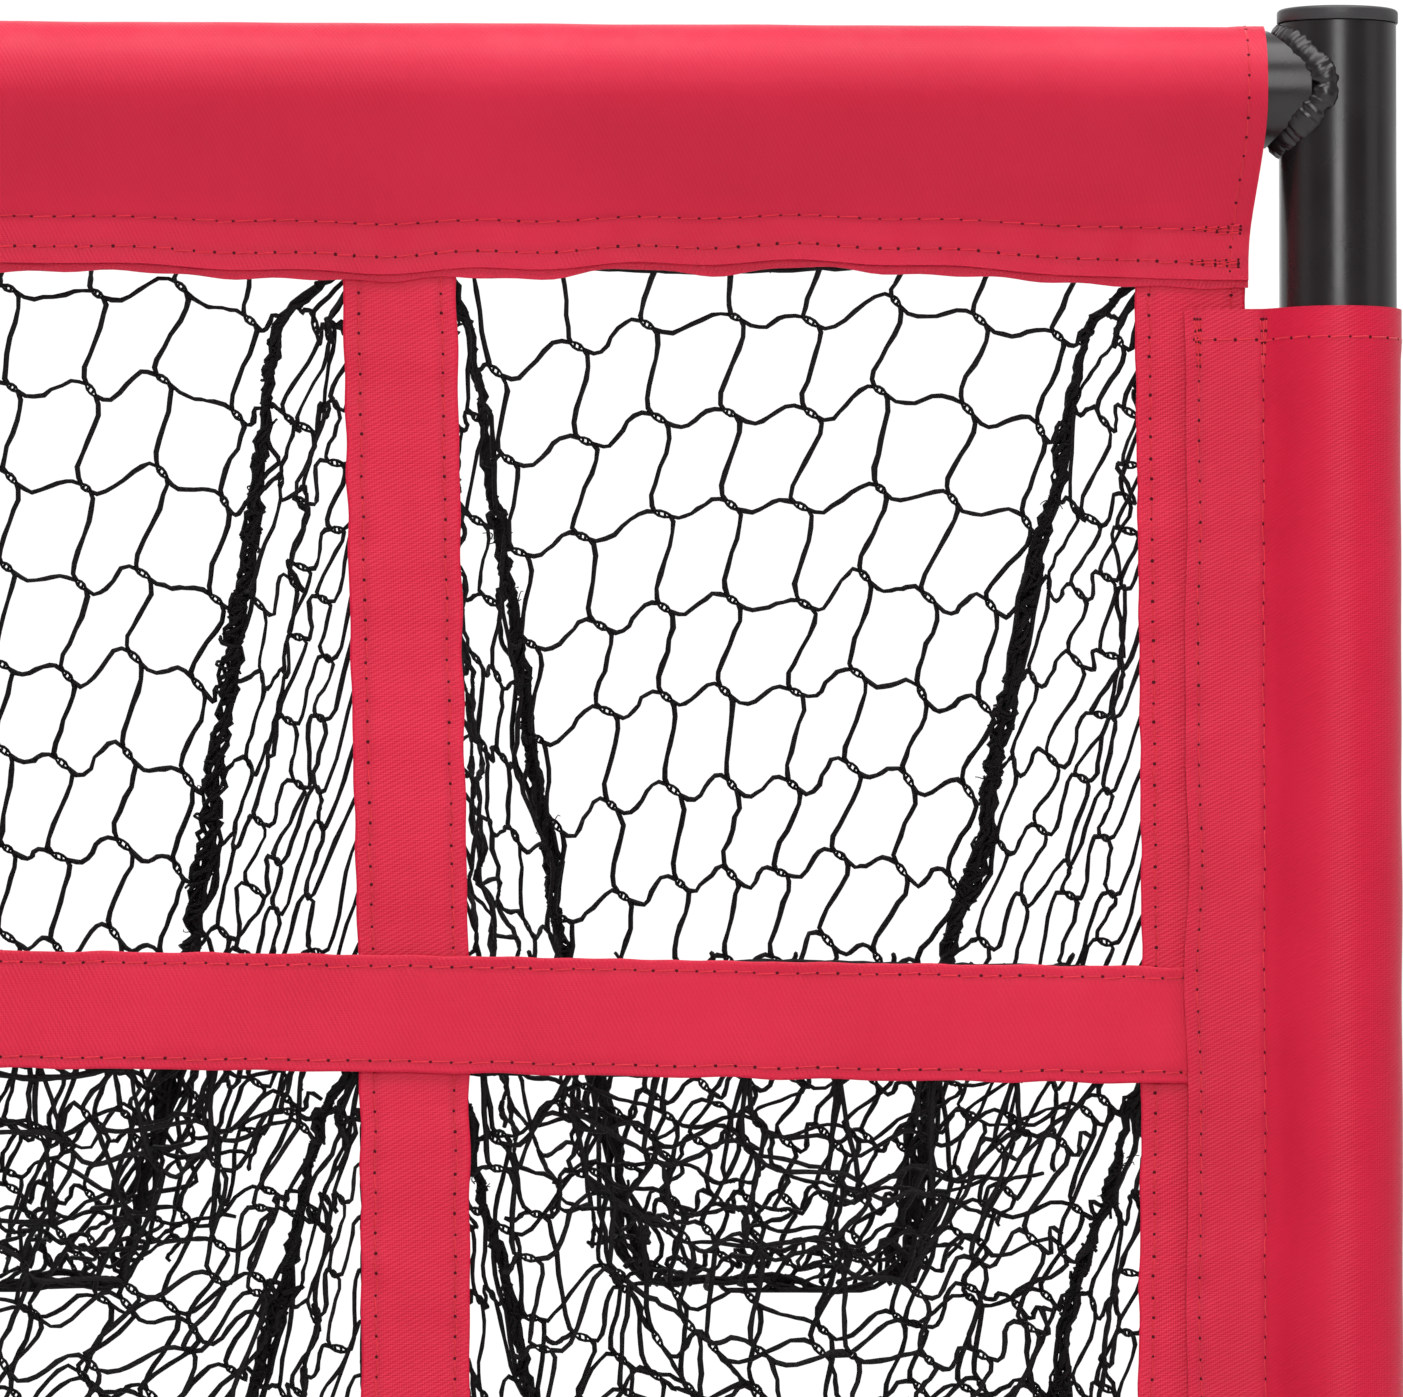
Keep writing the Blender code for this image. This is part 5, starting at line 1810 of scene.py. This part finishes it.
@dataclass
class Studio:
    """Pale floor, soft white boxes, and the camera."""

    camera_at: tuple[float, float, float] = (0.0, -3.0, 0.62)
    aim: tuple[float, float, float] = (0.148, 0.0, 0.780)
    view_width: float = 0.2972

    def make(self) -> None:
        """Set up the floor, lights, world and camera."""
        self.floor()
        self.lights()
        self.world()
        self.camera()

    def floor(self) -> None:
        """Lay a plain pale floor under the feet."""
        draft = Draft()
        line = np.linspace(-9.0, 9.0, 9)
        x, y = np.meshgrid(line, line, indexing="ij")
        draft.grid(np.stack([x, y, np.zeros_like(x)], -1), np.zeros((9, 9, 2)))
        tree, material, where, shader = principled("pale_floor", {"Roughness": 0.75})
        tone = tree.mix(tree.noise(where, 3.0), (0.80, 0.80, 0.80), (0.84, 0.84, 0.84))
        apart = tree.put("VectorMath", {0: where}, operation="LENGTH").outputs["Value"]
        seen = tree.put("LightPath").outputs["Is Camera Ray"]
        glow = tree.math("MULTIPLY", tree.span(apart, 0.7, 3.0, 0.0, 1.0), seen)
        tree.feed(shader, {"Base Color": tone, "Emission Strength": glow})
        draft.build("studio_floor", [material])

    @staticmethod
    def box_light(name: str, place: Array, target: Array, size: tuple[float, float],
                  power: float) -> None:
        """Hang a rectangular soft light facing a point."""
        data = bpy.data.lights.new(name, "AREA")
        data.shape, data.size, data.size_y, data.energy = "RECTANGLE", *size, power
        light = bpy.data.objects.new(name, data)
        bpy.context.scene.collection.objects.link(light)
        light.matrix_world = aimed(place, target)

    def lights(self) -> None:
        """Hang boxes high in front, near the camera, at both sides and behind."""
        middle = np.array([0.0, 0.0, 0.65])
        for name, place, size, power in (
                ("high_box", (0.1, -0.55, 2.5), (2.6, 1.5), 48.0),
                ("front_box", (0.10, -3.0, 1.75), (0.9, 1.8), 39.0),
                ("left_box", (-2.3, -0.9, 1.0), (1.0, 1.8), 2.0),
                ("right_box", (2.3, -0.9, 1.0), (1.0, 1.8), 3.5),
                ("back_box", (0.0, 2.4, 1.6), (2.0, 1.4), 6.0)):
            self.box_light(name, np.array(place), middle, size, power)

    @staticmethod
    def world() -> None:
        """Show white to the camera; light the object from a room dim in front, white behind."""
        world = bpy.data.worlds.new("studio")
        world.use_nodes = True
        tree = Tree(world.node_tree)
        seen = tree.put("LightPath").outputs["Is Camera Ray"]
        toward = tree.put("SeparateXYZ", {0: tree.put("TexCoord").outputs["Generated"]})
        room = tree.span(toward.outputs[1], -0.3, 0.5, 0.09, 0.80)
        strength = tree.math("MAXIMUM", tree.math("MULTIPLY", seen, 1.05), room)
        shade = tree.put("Background", {"Color": (1, 1, 1, 1), "Strength": strength})
        tree.feed(tree.put("OutputWorld"), {"Surface": shade.outputs[0]})
        bpy.context.scene.world = world

    def camera(self) -> None:
        """Point a long lens at the upper right of the target."""
        place, aim = np.array(self.camera_at), np.array(self.aim)
        data = bpy.data.cameras.new("camera")
        data.sensor_width = 36.0
        data.lens = 36.0 * float(np.linalg.norm(place - aim)) / self.view_width
        data.clip_start, data.clip_end = 0.05, 50.0
        camera = bpy.data.objects.new("camera", data)
        bpy.context.scene.collection.objects.link(camera)
        camera.matrix_world = aimed(place, aim)
        bpy.context.scene.camera = camera


FRAME: dict = {}


def main() -> None:
    """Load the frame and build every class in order."""
    logging.basicConfig(level=logging.INFO, format="%(name)s: %(message)s")
    FRAME.update(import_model())
    scene = bpy.context.scene
    scene.view_settings.view_transform = "Standard"
    Studio().make()
    groups = Groups()
    shop = Workshop({f.name: f.make(groups) for f in FINISHES})
    SteelFrame(shop).make()
    target = Target(shop)
    target.sleeves()
    target.grid()
    target.pockets()
    LOG.info("%d pieces made", shop.made)


if __name__ == "__main__":
    main()
